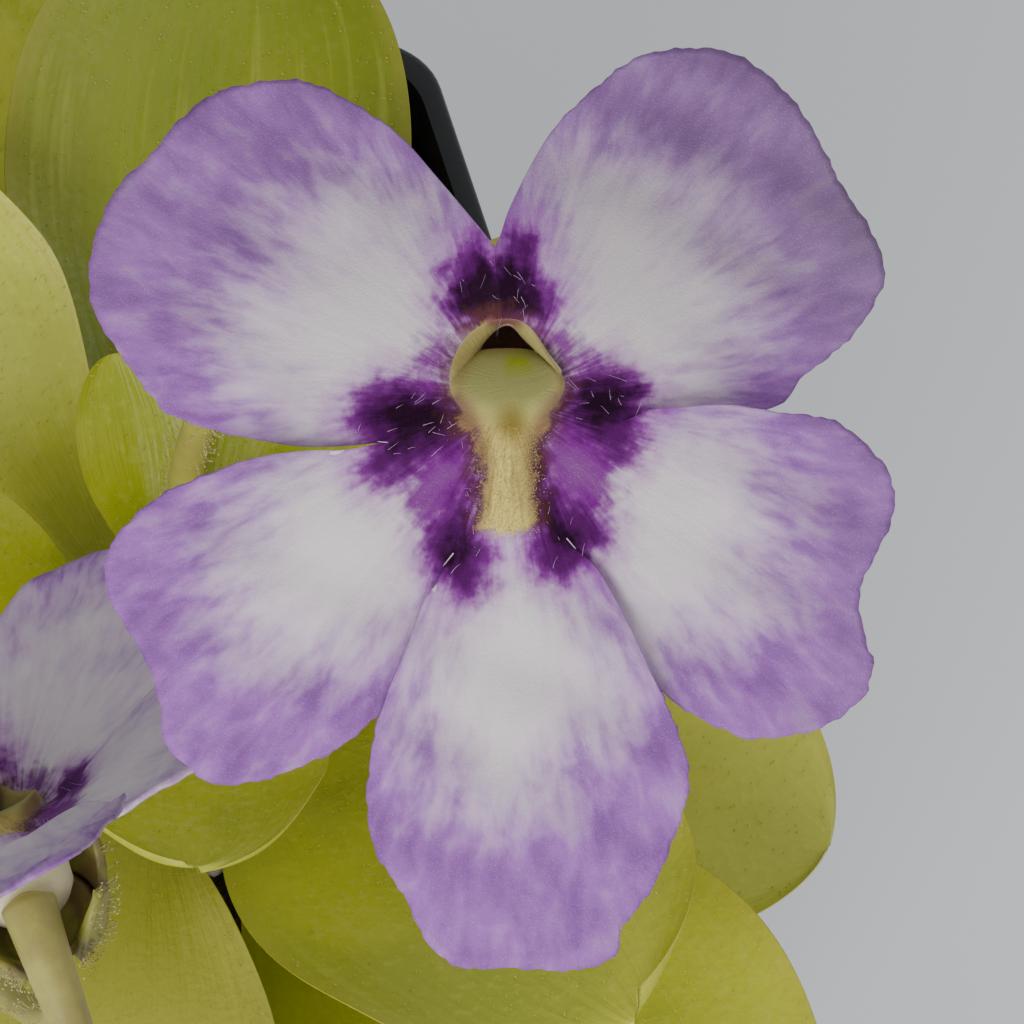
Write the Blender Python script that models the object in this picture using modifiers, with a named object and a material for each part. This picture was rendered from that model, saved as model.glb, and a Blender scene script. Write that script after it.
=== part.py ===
"""A flowering butterwort in its square nursery pot.

A rosette of broad leaves grows from a short crown that stands in a hole in the soil.  Two flower stalks
arch up from the crown.  Each carries a hairy calyx and one five-lobed corolla with a tube and a spur, and
inside the tube are the pistil and two stamens.

The origin is the middle of the pot's underside, +Z is up and -Y is the side that the flowers lean to.
Run with blender --background --python part.py.
"""

import math

import bmesh
import bpy
from mathutils import Matrix, Vector, noise

MM = 0.001

# Pot: outer and inner sections are rounded squares, given by half width, corner radius and height.
POT_HEIGHT = 60.0
POT_RIM_HALF = 32.0
POT_BASE_HALF = 23.0
POT_WALL = 1.4
POT_FLOOR = 2.2
POT_RIM_BAND = 8.0
POT_RIM_STEP = 2.0
CORNER_SHARE = 0.15
CORNER_STEPS = 4
DRAIN_RADIUS = 3.0
DRAIN_OFFSET = 13.0

# Soil
SOIL_LEVEL = 55.0
SOIL_GAP = 0.4
SOIL_ROUGHNESS = 0.7

# Crown of the plant, off the pot's middle
CROWN = Vector((8.2, -8.5, 0.0))
CROWN_RADIUS = 4.0
CROWN_TOP = 66.0
CROWN_FOOT = 47.0
CROWN_HOLE = 4.5

# Rosette
GOLDEN_ANGLE = math.radians(137.508)
LEAF_COUNT = 15
FIRST_LEAF_ANGLE = math.radians(326.0)
OLDEST_LEAF = 47.0
YOUNGEST_LEAF = 13.0
SHORT_SIDE_ANGLE = math.radians(350.0)
SHORT_SIDE_LOSS = 0.36
LEAF_WIDTH_SHARE = 0.31
INNER_WIDTH_SHARE = 0.23
PETIOLE_HALF = 2.0
PETIOLE_LOSS = 1.0
LEAF_THICKNESS = 0.9
LEAF_THINNING = 0.25
LEAF_ROWS = 9
LEAF_COLUMNS = (-1.0, -0.72, -0.34, 0.0, 0.34, 0.72, 1.0)
LEAF_CUPPING = 0.20
WIDEST_AT = 0.6
# One more leaf, flatter than the others, lies out between two of the lowest
OUTER_LEAF_ANGLE = math.radians(291.5)
OUTER_LEAF = 45.5
OUTER_LEAF_WIDTH_SHARE = 0.285
OUTER_LEAF_RISE = math.radians(19.5)
OUTER_LEAF_DROOP = math.radians(-19.5)
OUTER_LEAF_FOOT = 4.0
OUTER_LEAF_CUPPING = 0.12

# Flowers: where each mouth is from the crown, and how the second, half-open one looks and folds
VIEW_TURN = math.radians(-15.0)
FACE_TILT = math.radians(55.0)
FLOWER_1_REACH = Vector((17.6, -46.9, 92.4))
FLOWER_2_REACH = Vector((-2.9, -45.2, 61.8))
FLOWER_2_LOOK = (-0.26, 0.80, 0.54)
FLOWER_2_ROLL = math.radians(35.0)
FLOWER_2_SCALE = 1.0
FLOWER_2_FOLD = math.radians(35.0)
PETAL_THICKNESS = 0.6
PETAL_RINGS = 5
NECK_RINGS = 2

# Corolla outline, one lobe after another clockwise from the left notch, in millimetres from the mouth's
# centre as the flower is faced.  Each lobe ends where the next begins.
UPPER_LEFT = (
    (-4.9, -1.8), (-7.4, -1.8), (-9.8, -1.4), (-12.0, -0.9), (-12.9, 0.2), (-14.1, 1.4), (-15.0, 3.4),
    (-15.0, 5.4), (-14.2, 7.4), (-12.8, 8.8), (-11.7, 10.1), (-10.1, 11.1), (-8.1, 11.4), (-6.0, 10.8),
    (-3.9, 9.3), (-2.1, 7.1), (-0.4, 5.2),
)
UPPER_RIGHT = (
    (-0.4, 5.2), (0.2, 7.1), (1.6, 9.6), (3.8, 11.5), (6.7, 12.5), (8.6, 12.2), (10.4, 10.5), (12.2, 7.3),
    (13.1, 5.9), (13.6, 4.4), (12.6, 2.3), (10.6, 0.4), (9.2, -0.2), (6.9, -0.1), (5.2, -0.3), (4.3, -0.9),
)
LOWER_RIGHT = (
    (4.3, -0.9), (5.4, -0.7), (7.6, -0.6), (10.4, -0.7), (12.6, -1.5), (13.8, -3.6), (13.4, -5.2),
    (12.6, -7.0), (12.8, -8.2), (13.1, -9.5), (12.2, -11.4), (10.6, -12.1), (8.6, -12.3), (6.9, -11.6),
    (6.0, -10.4), (5.2, -8.8), (4.0, -6.9), (2.7, -5.7),
)
LOWEST = (
    (2.7, -5.7), (3.6, -7.4), (4.6, -9.2), (5.5, -11.0), (6.4, -13.3), (6.1, -15.4), (5.4, -17.3),
    (4.1, -19.1), (3.3, -20.4), (1.5, -20.5), (-1.7, -20.4), (-3.1, -18.9), (-4.7, -16.1), (-5.0, -14.1),
    (-4.6, -11.8), (-3.8, -9.4), (-2.9, -7.4), (-2.4, -6.3),
)
LOWER_LEFT = (
    (-2.4, -6.3), (-3.4, -7.3), (-4.4, -9.6), (-5.2, -11.5), (-6.7, -12.9), (-8.9, -13.7), (-10.5, -13.9),
    (-12.1, -12.9), (-12.5, -10.7), (-13.6, -8.5), (-14.4, -6.4), (-14.1, -5.4), (-12.5, -3.6),
    (-11.0, -2.9), (-9.2, -2.5), (-7.4, -2.4), (-5.8, -2.2), (-4.9, -1.8),
)
# Outline, pieces along it, slope away from the mouth and how far its seam edges stand forward
LOBES = (
    (UPPER_LEFT, 16, -0.15, -0.25),
    (UPPER_RIGHT, 16, -0.15, -0.25),
    (LOWER_RIGHT, 12, -0.02, 0.15),
    (LOWEST, 12, 0.05, 0.45),
    (LOWER_LEFT, 12, -0.02, 0.15),
)
LOBE_CURL = 0.006
MOUTH_CENTRE = (0.05, 0.1)
MOUTH_HALF = (2.2, 2.7)
# Tube sections behind the mouth: depth, centre height, half width and half height
TUBE = (
    (-1.3, 0.35, 1.85, 2.00),
    (-2.6, 0.90, 1.65, 1.50),
    (-4.0, 1.10, 1.90, 1.80),
    (-5.2, 1.25, 1.60, 1.55),
    (-6.0, 1.35, 0.80, 0.80),
)
TUBE_END = (1.40, -6.3)
SPUR_PATH = ((0.0, -0.6, -4.2), (0.0, -2.6, -5.7), (0.0, -4.7, -8.4), (0.0, -6.8, -11.3), (0.0, -8.8, -14.3))
SPUR_RADII = (1.15, 0.95, 0.80, 0.70, 0.45)

# Calyx, on an axis that runs back from the tube's end
CALYX_BASE = Vector((0.0, 1.45, -6.7))
CALYX_AXIS = Vector((0.0, 0.25, -0.97)).normalized()
CALYX_CUP = ((1.15, 0.55), (0.75, 1.75), (-0.30, 2.60))
SEPAL_ANGLES = (90.0, 25.0, -38.0, -142.0, 155.0)
SEPAL_HALF_ANGLE = 30.0
SEPAL_POINTS = 5
SEPAL_LENGTH = 3.0
SEPAL_FLARE = 0.9
SEPAL_THICKNESS = 0.6

# Stalks
STALK_BASE_RADIUS = 0.95
STALK_TOP_RADIUS = 0.65
STALK_POINTS = 22
STALK_GAP = 0.35

COLOURS = {
    "pot": (0.012, 0.012, 0.013, 0.45),
    "soil": (0.10, 0.065, 0.04, 0.95),
    "leaf": (0.36, 0.38, 0.045, 0.35),
    "crown": (0.42, 0.44, 0.12, 0.5),
    "petal": (0.56, 0.43, 0.62, 0.6),
    "calyx": (0.22, 0.20, 0.05, 0.5),
    "stalk": (0.40, 0.30, 0.18, 0.5),
    "pistil": (0.50, 0.52, 0.22, 0.5),
    "stamen": (0.75, 0.72, 0.55, 0.5),
}


def clear_scene():
    for obj in list(bpy.data.objects):
        bpy.data.objects.remove(obj, do_unlink=True)


def new_collection(name):
    made = bpy.data.collections.new(name)
    bpy.context.scene.collection.children.link(made)
    return made


def make_materials():
    made = {}
    for name, (red, green, blue, roughness) in COLOURS.items():
        material = bpy.data.materials.new(name)
        material.use_nodes = True
        shader = material.node_tree.nodes["Principled BSDF"]
        shader.inputs["Base Color"].default_value = (red, green, blue, 1.0)
        shader.inputs["Roughness"].default_value = roughness
        made[name] = material
    return made


def mesh_object(name, points, faces, material, collection, parent=None):
    """A mesh object from points in millimetres."""
    mesh = bpy.data.meshes.new(name)
    mesh.from_pydata([Vector(p) * MM for p in points], [], faces)
    mesh.validate()
    mesh.shade_smooth()
    mesh.set_sharp_from_angle(angle=math.radians(50))
    if material:
        mesh.materials.append(material)
    obj = bpy.data.objects.new(name, mesh)
    collection.objects.link(obj)
    obj.parent = parent
    return obj


def eased(low, high, value):
    share = min(max((value - low) / (high - low), 0.0), 1.0)
    return share * share * (3 - 2 * share)


def loft(sections, close_start=False, close_end=False):
    """Quads between rings of equal length.  The ends can be closed with one face each."""
    count = len(sections[0])
    points = [p for ring in sections for p in ring]
    faces = []
    for row in range(len(sections) - 1):
        for k in range(count):
            a = row * count + k
            b = row * count + (k + 1) % count
            faces.append((a, b, b + count, a + count))
    if close_start:
        faces.append(tuple(reversed(range(count))))
    if close_end:
        last = (len(sections) - 1) * count
        faces.append(tuple(range(last, last + count)))
    return points, faces


def rounded_square(half, z, centre=(0.0, 0.0)):
    """A ring of points, counter-clockwise from above, with quarter-round corners."""
    radius = half * CORNER_SHARE
    ring = []
    for corner in range(4):
        middle = math.radians(45 + 90 * corner)
        cx = math.copysign(half - radius, math.cos(middle))
        cy = math.copysign(half - radius, math.sin(middle))
        for step in range(CORNER_STEPS + 1):
            angle = math.radians(90 * corner + 90 * step / CORNER_STEPS)
            x = centre[0] + cx + radius * math.cos(angle)
            y = centre[1] + cy + radius * math.sin(angle)
            ring.append((x, y, z))
    return ring


def pot_half_at(z):
    """Half width of the pot's outside, below the rim band."""
    top = POT_HEIGHT - POT_RIM_BAND
    return POT_BASE_HALF + (POT_RIM_HALF - POT_RIM_STEP - POT_BASE_HALF) * z / top


def thicken(obj, thickness, offset):
    """A closed sheet from an open surface, split into triangles alike on both faces."""
    split = obj.modifiers.new("split", "TRIANGULATE")
    split.quad_method = "FIXED"
    sheet = obj.modifiers.new("thickness", "SOLIDIFY")
    sheet.thickness = thickness * MM
    sheet.offset = offset


def boolean(target, other, operation, name):
    modifier = target.modifiers.new(name, "BOOLEAN")
    modifier.operation = operation
    modifier.object = other
    return modifier


def as_cutter(obj):
    obj.hide_render = True
    obj.display_type = "WIRE"
    return obj


def cylinder_cutter(name, radius, low, high, x, y, collection, sides=20):
    mesh = bpy.data.meshes.new(name)
    shape = bmesh.new()
    bmesh.ops.create_cone(
        shape, cap_ends=True, segments=sides, radius1=radius * MM, radius2=radius * MM, depth=(high - low) * MM
    )
    shape.to_mesh(mesh)
    shape.free()
    obj = bpy.data.objects.new(name, mesh)
    obj.location = Vector((x, y, (low + high) / 2)) * MM
    collection.objects.link(obj)
    return as_cutter(obj)


def build_pot(parts, cutters, materials):
    """A thin tapered square pot with a deep rim band and a drain hole near each corner of its floor."""
    band = POT_HEIGHT - POT_RIM_BAND
    chamfer = 0.6
    outside = [
        rounded_square(POT_BASE_HALF - chamfer, 0.0),
        rounded_square(POT_BASE_HALF, chamfer),
        rounded_square(POT_RIM_HALF - POT_RIM_STEP, band),
        rounded_square(POT_RIM_HALF, band + 0.8),
        rounded_square(POT_RIM_HALF, POT_HEIGHT - 0.4),
        rounded_square(POT_RIM_HALF - 0.4, POT_HEIGHT),
    ]
    pot = mesh_object("pot", *loft(outside, True, True), materials["pot"], parts)
    inside = [
        rounded_square(pot_half_at(POT_FLOOR) - POT_WALL, POT_FLOOR),
        rounded_square(POT_RIM_HALF - POT_RIM_STEP - POT_WALL, band),
        rounded_square(POT_RIM_HALF - POT_WALL, band + 1.5),
        rounded_square(POT_RIM_HALF - POT_WALL, POT_HEIGHT + 5.0),
    ]
    hollow = as_cutter(mesh_object("cut_hollow", *loft(inside, True, True), None, cutters))
    boolean(pot, hollow, "DIFFERENCE", "hollow")
    corners = [(x, y) for x in (-DRAIN_OFFSET, DRAIN_OFFSET) for y in (-DRAIN_OFFSET, DRAIN_OFFSET)]
    for number, (x, y) in enumerate(corners, 1):
        drain = cylinder_cutter(f"cut_drain_{number}", DRAIN_RADIUS, -2.0, POT_FLOOR + 0.2, x, y, cutters, 16)
        boolean(pot, drain, "DIFFERENCE", f"drain_{number}")
    return pot


def soil_height(x, y):
    """Uneven soil, a little higher round the crown."""
    bumps = noise.noise(Vector((x * 0.21, y * 0.21, 3.7)))
    near = math.exp(-((x - CROWN.x) ** 2 + (y - CROWN.y) ** 2) / 120.0)
    return SOIL_LEVEL + SOIL_ROUGHNESS * bumps + 0.5 * near


def build_soil(parts, cutters, materials):
    """The filling of the pot, with a plain hole where the crown stands."""
    band = POT_HEIGHT - POT_RIM_BAND
    shrink = POT_WALL + SOIL_GAP
    rings = [
        rounded_square(pot_half_at(POT_FLOOR) - shrink, POT_FLOOR + SOIL_GAP),
        rounded_square(POT_RIM_HALF - POT_RIM_STEP - shrink, band + 0.2),
        rounded_square(POT_RIM_HALF - shrink, band + 2.2),
    ]
    edge_half = POT_RIM_HALF - shrink
    for share in (1.0, 0.86, 0.70, 0.54, 0.38, 0.22, 0.08):
        ring = rounded_square(edge_half * share, 0.0)
        rings.append([(x, y, soil_height(x, y)) for x, y, _ in ring])
    soil = mesh_object("soil", *loft(rings, True, True), materials["soil"], parts)
    hole = cylinder_cutter("cut_crown", CROWN_HOLE, CROWN_FOOT - 1.0, 70.0, CROWN.x, CROWN.y, cutters)
    boolean(soil, hole, "DIFFERENCE", "crown_hole")
    return soil


def crown_radius_at(z):
    """Radius of the crown, which narrows to its growing tip."""
    share = min(max((z - SOIL_LEVEL) / (CROWN_TOP - SOIL_LEVEL), 0.0), 1.0)
    return CROWN_RADIUS * (1.0 - 0.62 * share**1.3)


def build_crown(parts, materials):
    """The short stem of the rosette: a turned shape, rounded below where the roots start."""
    heights = [CROWN_TOP, CROWN_TOP - 1.5, CROWN_TOP - 4.0, CROWN_TOP - 6.5, SOIL_LEVEL, CROWN_FOOT + 4.0]
    profile = [(0.0, CROWN_TOP + 0.3)] + [(crown_radius_at(z), z) for z in heights]
    profile += [(2.6, CROWN_FOOT + 1.2), (0.0, CROWN_FOOT)]
    points = [(radius, 0.0, z) for radius, z in profile]
    edges = [(k, k + 1) for k in range(len(points) - 1)]
    mesh = bpy.data.meshes.new("crown")
    mesh.from_pydata([Vector(p) * MM for p in points], edges, [])
    mesh.materials.append(materials["crown"])
    crown = bpy.data.objects.new("crown", mesh)
    crown.location = Vector((CROWN.x, CROWN.y, 0.0)) * MM
    parts.objects.link(crown)
    screw = crown.modifiers.new("turn", "SCREW")
    screw.steps = 16
    screw.render_steps = 16
    screw.use_merge_vertices = True
    screw.merge_threshold = 0.0001
    return crown


def leaf_half_width(share, widest, narrowest):
    """Half width along a leaf: a channelled stalk that opens into a broad, round-ended blade."""
    if share < WIDEST_AT:
        return narrowest + (widest - narrowest) * eased(0.0, WIDEST_AT, share)
    fall = (share - WIDEST_AT) / (1 - WIDEST_AT)
    return widest * math.sqrt(max(0.0, 1 - fall**2.2))


def leaf_age(index):
    """0 for the oldest leaf of the rosette to 1 for the youngest, and 0 for the one left over below them."""
    return index / (LEAF_COUNT - 1) if index < LEAF_COUNT else 0.0


def leaf_settings(index):
    """Direction, length, rise and base of the leaf with this number, from the oldest, 0, inwards."""
    if index == LEAF_COUNT:
        return (
            OUTER_LEAF_ANGLE, OUTER_LEAF, OUTER_LEAF_RISE, OUTER_LEAF_DROOP, SOIL_LEVEL + OUTER_LEAF_FOOT,
            OUTER_LEAF * OUTER_LEAF_WIDTH_SHARE, PETIOLE_HALF - PETIOLE_LOSS * 0.3, OUTER_LEAF_CUPPING,
        )
    age = leaf_age(index)
    angle = FIRST_LEAF_ANGLE + GOLDEN_ANGLE * index
    short = max(0.0, math.cos(angle - SHORT_SIDE_ANGLE)) ** 1.5
    length = OLDEST_LEAF + (YOUNGEST_LEAF - OLDEST_LEAF) * age**1.8
    length *= 1 - SHORT_SIDE_LOSS * short * (1 - age)
    rise = math.radians(15.0 + 50.0 * age)
    droop = math.radians(-14.0 - 12.0 * age)
    height = SOIL_LEVEL + 2.6 + 8.0 * age
    widest = length * (LEAF_WIDTH_SHARE + (INNER_WIDTH_SHARE - LEAF_WIDTH_SHARE) * age)
    return angle, length, rise, droop, height, widest, PETIOLE_HALF - PETIOLE_LOSS * age, LEAF_CUPPING


def leaf_point(share, across, settings):
    """A point on a leaf's upper face, from the crown's axis at height 0, in millimetres."""
    angle, length, rise, droop, height, widest, narrowest, cupping = settings
    radius, z = crown_radius_at(height - 0.4) + 0.5, height
    steps = 12
    for step in range(steps):
        at = (step + 0.5) / steps * share
        slope = rise + droop * at
        radius += math.cos(slope) * length * share / steps
        z += math.sin(slope) * length * share / steps
    slope = rise + droop * share
    half = leaf_half_width(share, widest, narrowest)
    lift = cupping * half * abs(across) ** 3 - 0.45 * math.exp(-((across / 0.25) ** 2)) * (1 - share)
    lift += 0.175 * cupping * length * math.sin(5.0 * share + angle * 3) * across * share
    lift *= eased(0.0, 0.3, share)
    out = Vector((math.cos(angle), math.sin(angle), 0.0))
    side = Vector((-math.sin(angle), math.cos(angle), 0.0))
    up = Vector((-out.x * math.sin(slope), -out.y * math.sin(slope), math.cos(slope)))
    return out * radius + Vector((0, 0, z)) + side * (across * half) + up * lift


def build_leaf(index, parts, materials):
    """One fleshy blade, as an open surface with its thickness below."""
    settings = leaf_settings(index)
    columns = len(LEAF_COLUMNS)
    points = []
    for row in range(LEAF_ROWS):
        share = math.sin(math.pi / 2 * row / LEAF_ROWS)
        points += [leaf_point(share, across, settings) for across in LEAF_COLUMNS]
    tip = len(points)
    points.append(leaf_point(1.0, 0.0, settings))
    faces = []
    for row in range(LEAF_ROWS - 1):
        for k in range(columns - 1):
            a = row * columns + k
            faces.append((a, a + columns, a + columns + 1, a + 1))
    last = (LEAF_ROWS - 1) * columns
    for k in range(columns - 1):
        faces.append((last + k, tip, last + k + 1))
    leaf = mesh_object(f"leaf_{index + 1:02d}", points, faces, materials["leaf"], parts)
    leaf.location = Vector((CROWN.x, CROWN.y, 0.0)) * MM
    thicken(leaf, LEAF_THICKNESS - LEAF_THINNING * leaf_age(index), -1.0)
    return leaf


def smooth_line(points, pieces):
    """Points at even distances along a Catmull-Rom curve through the given ones."""
    padded = [points[0], *points, points[-1]]
    dense = []
    for k in range(1, len(padded) - 2):
        p0, p1, p2, p3 = (Vector(p) for p in padded[k - 1 : k + 3])
        for step in range(8):
            t = step / 8
            dense.append(
                0.5 * (2 * p1 + (p2 - p0) * t + (2 * p0 - 5 * p1 + 4 * p2 - p3) * t**2 + (3 * p1 - p0 - 3 * p2 + p3) * t**3)
            )
    dense.append(Vector(points[-1]))
    travelled = [0.0]
    for a, b in zip(dense, dense[1:]):
        travelled.append(travelled[-1] + (b - a).length)
    line, k = [], 0
    for piece in range(pieces + 1):
        goal = travelled[-1] * piece / pieces
        while k < len(dense) - 2 and travelled[k + 1] < goal:
            k += 1
        span = max(travelled[k + 1] - travelled[k], 1e-9)
        line.append(dense[k].lerp(dense[k + 1], (goal - travelled[k]) / span))
    return line


def petal_height(x, y, slope, forward):
    """How far a lobe stands in front of the mouth at x, y: it slopes away, curls back and has a palate."""
    out = max(0.0, math.hypot(x, y) - 2.6)
    height = slope * out - LOBE_CURL * out**2 + forward * eased(1.5, 5.0, out)
    palate = 0.55 * math.exp(-((x / 1.2) ** 2)) * eased(-6.2, -4.0, y) * eased(0.0, -2.6, y)
    wave = 0.22 * math.sin(0.9 * x - 0.6 * y) * eased(4.0, 10.0, out)
    return height + palate + wave


def folded(point, fold):
    """A point of the lobes, turned forward about the mouth by the fold angle."""
    x, y, z = point
    reach = math.hypot(x, y)
    out = max(0.0, reach - 2.6)
    share = (reach - out + out * math.cos(fold)) / reach
    return (x * share, y * share, z + out * math.sin(fold))


def build_corolla(name, fold, parent, parts, cutters, materials):
    """Five lobes that join in a tube, one thin shell, with the spur united to it."""
    grids = []
    for outline, pieces, slope, forward in LOBES:
        rim = smooth_line(outline, pieces)
        start = math.atan2(outline[0][1], outline[0][0])
        end = math.atan2(outline[-1][1], outline[-1][0])
        if end > start:
            end -= 2 * math.pi
        reach_start, reach_end = math.hypot(*outline[0]), math.hypot(*outline[-1])
        rows = []
        for ring in range(PETAL_RINGS + 1):
            row = []
            for k in range(pieces + 1):
                along = k / pieces
                angle = start + (end - start) * along
                # The lobes are joined as far out as an arc from notch to notch, and free beyond it
                reach = reach_start + (reach_end - reach_start) * along
                neck = (reach * math.cos(angle), reach * math.sin(angle))
                if ring < NECK_RINGS:
                    inner = (
                        MOUTH_CENTRE[0] + MOUTH_HALF[0] * math.cos(angle),
                        MOUTH_CENTRE[1] + MOUTH_HALF[1] * math.sin(angle),
                    )
                    outer, t = neck, ring / NECK_RINGS
                else:
                    inner, outer = neck, rim[k]
                    t = (ring - NECK_RINGS) / (PETAL_RINGS - NECK_RINGS)
                x = inner[0] + (outer[0] - inner[0]) * t
                y = inner[1] + (outer[1] - inner[1]) * t
                edge = abs(2 * k / pieces - 1)
                shared = 0.0 if edge > 0.999 else 1.0
                row.append(folded((x, y, petal_height(x, y, slope * shared, forward * shared)), fold))
            rows.append(row)
        grids.append(rows)
    points, faces, index = [], [], {}

    def vertex(p):
        key = (round(p[0], 4), round(p[1], 4))
        if key not in index:
            index[key] = len(points)
            points.append(p)
        return index[key]

    for rows in grids:
        for ring in range(PETAL_RINGS):
            for k in range(len(rows[0]) - 1):
                corners = [rows[ring][k], rows[ring][k + 1], rows[ring + 1][k + 1], rows[ring + 1][k]]
                ids = list(dict.fromkeys(vertex(c) for c in corners))
                if len(ids) > 2:
                    faces.append(tuple(reversed(ids)))
    mouth = []
    for rows in grids:
        mouth += [vertex(p) for p in rows[0][:-1]]
    previous = mouth
    for depth, centre_y, half_x, half_y in TUBE:
        ring = []
        for at in mouth:
            x, y, _ = points[at]
            angle = math.atan2((y - MOUTH_CENTRE[1]) / MOUTH_HALF[1], (x - MOUTH_CENTRE[0]) / MOUTH_HALF[0])
            ring.append(len(points))
            points.append((half_x * math.cos(angle), centre_y + half_y * math.sin(angle), depth))
        for k in range(len(mouth)):
            n = (k + 1) % len(mouth)
            faces.append((previous[k], previous[n], ring[n], ring[k]))
        previous = ring
    end = len(points)
    points.append((0.0, *TUBE_END))
    for k in range(len(previous)):
        faces.append((previous[k], previous[(k + 1) % len(previous)], end))
    corolla = mesh_object(name, points, faces, materials["petal"], parts, parent)
    thicken(corolla, PETAL_THICKNESS, 1.0)
    spur = tube_mesh(f"{name}_spur", SPUR_PATH, SPUR_RADII, None, cutters, parent)
    boolean(corolla, as_cutter(spur), "UNION", "spur")
    return corolla


def tube_mesh(name, path, radii, material, collection, parent=None, sides=2, pieces=10):
    """A round tube along a smooth path, as a closed mesh with welded caps."""
    line = smooth_line(path, pieces)
    curve = bpy.data.curves.new(name, "CURVE")
    curve.dimensions = "3D"
    curve.bevel_depth = MM
    curve.bevel_resolution = sides
    curve.use_fill_caps = True
    spline = curve.splines.new("POLY")
    spline.points.add(len(line) - 1)
    for k, point in enumerate(line):
        at = k / (len(line) - 1) * (len(radii) - 1)
        low = min(int(at), len(radii) - 2)
        radius = radii[low] + (radii[low + 1] - radii[low]) * (at - low)
        spline.points[k].co = (*(point * MM), 1.0)
        spline.points[k].radius = radius
    guide = bpy.data.objects.new(name + "_curve", curve)
    collection.objects.link(guide)
    guide.parent = parent
    bpy.context.view_layer.update()
    mesh = bpy.data.meshes.new_from_object(guide.evaluated_get(bpy.context.evaluated_depsgraph_get()))
    shape = bmesh.new()
    shape.from_mesh(mesh)
    bmesh.ops.remove_doubles(shape, verts=shape.verts, dist=0.00002)
    bmesh.ops.recalc_face_normals(shape, faces=shape.faces)
    shape.to_mesh(mesh)
    shape.free()
    mesh.shade_smooth()
    if material:
        mesh.materials.append(material)
    tube = bpy.data.objects.new(name, mesh)
    collection.objects.link(tube)
    tube.parent = parent
    bpy.data.objects.remove(guide)
    return tube


def build_calyx(name, parent, parts, materials):
    """A small cup with five pointed sepals that hold the tube's end.  The spur passes between the lower two."""
    toward = -CALYX_AXIS
    side = Vector((1.0, 0.0, 0.0))
    up = toward.cross(side)

    def place(along, radius, degrees):
        angle = math.radians(degrees)
        return CALYX_BASE + CALYX_AXIS * along + (side * math.cos(angle) + up * math.sin(angle)) * radius

    shares = [1 - 2 * k / (SEPAL_POINTS - 1) for k in range(SEPAL_POINTS)]
    around = [middle + SEPAL_HALF_ANGLE * share for middle in SEPAL_ANGLES for share in shares]
    cup = [[place(along, radius, degrees) for degrees in around] for along, radius in reversed(CALYX_CUP)]
    points, faces = loft(cup)
    count = len(around)
    hub = len(points)
    points.append(place(CALYX_CUP[0][0] + 0.1, 0.0, 0.0))
    for k in range(count):
        faces.append((hub - count + k, hub - count + (k + 1) % count, hub))
    rim_along, rim_radius = CALYX_CUP[-1]
    for number, middle in enumerate(SEPAL_ANGLES):
        below = [number * SEPAL_POINTS + k for k in range(SEPAL_POINTS)]
        for length, width in ((0.45, 0.78), (0.8, 0.42)):
            row = []
            for share in shares:
                row.append(len(points))
                degrees = middle + SEPAL_HALF_ANGLE * share * width
                points.append(place(rim_along - SEPAL_LENGTH * length, rim_radius + SEPAL_FLARE * length, degrees))
            for k in range(SEPAL_POINTS - 1):
                faces.append((row[k], row[k + 1], below[k + 1], below[k]))
            below = row
        tip = len(points)
        points.append(place(rim_along - SEPAL_LENGTH, rim_radius + SEPAL_FLARE * 1.1, middle))
        for k in range(SEPAL_POINTS - 1):
            faces.append((tip, below[k + 1], below[k]))
    calyx = mesh_object(name, points, faces, materials["calyx"], parts, parent)
    thicken(calyx, SEPAL_THICKNESS, 1.0)
    return calyx


def build_pistil(name, parent, parts, materials):
    """A round ovary with a short style and a broad stigma, turned about the tube's own line."""
    profile = [(0.0, -3.55), (0.50, -3.6), (0.58, -3.8), (0.26, -4.05), (0.26, -4.3), (0.52, -4.6), (0.60, -4.9)]
    profile += [(0.45, -5.2), (0.0, -5.35)]
    mesh = bpy.data.meshes.new(name)
    mesh.from_pydata([Vector((r, 0.0, z)) * MM for r, z in profile], [(k, k + 1) for k in range(len(profile) - 1)], [])
    mesh.materials.append(materials["pistil"])
    pistil = bpy.data.objects.new(name, mesh)
    pistil.location = Vector((0.0, 1.25, 0.0)) * MM
    pistil.parent = parent
    parts.objects.link(pistil)
    screw = pistil.modifiers.new("turn", "SCREW")
    screw.steps = 8
    screw.render_steps = 8
    screw.use_merge_vertices = True
    screw.merge_threshold = 0.00005
    return pistil


def flower_frame(look, roll, place, scale):
    """Matrix of a flower whose face looks along look, given in the first flower's own axes."""
    turn = Matrix.Rotation(VIEW_TURN, 3, "Z")
    right = turn @ Vector((1.0, 0.0, 0.0))
    up = turn @ Vector((0.0, math.sin(FACE_TILT), math.cos(FACE_TILT)))
    out = turn @ Vector((0.0, -math.cos(FACE_TILT), math.sin(FACE_TILT)))
    face = (right * look[0] + up * look[1] + out * look[2]).normalized()
    x_axis = up.cross(face).normalized()
    y_axis = face.cross(x_axis)
    axes = Matrix((x_axis, y_axis, face)).transposed() @ Matrix.Rotation(roll, 3, "Z")
    return Matrix.LocRotScale(place * MM, axes.to_quaternion(), Vector((scale, scale, scale)))


def build_stalk(name, start, rise, end, leave, parts, materials):
    """A flower stalk from the crown to the back of a calyx, on one cubic curve."""
    a, b, c, d = start, start + rise, end + leave, end
    path = []
    for k in range(STALK_POINTS + 1):
        t = k / STALK_POINTS
        path.append(a * (1 - t) ** 3 + b * 3 * t * (1 - t) ** 2 + c * 3 * t * t * (1 - t) + d * t**3)
    radii = (STALK_BASE_RADIUS, STALK_TOP_RADIUS, STALK_TOP_RADIUS)
    return tube_mesh(name, path, radii, materials["stalk"], parts, pieces=STALK_POINTS)


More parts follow.
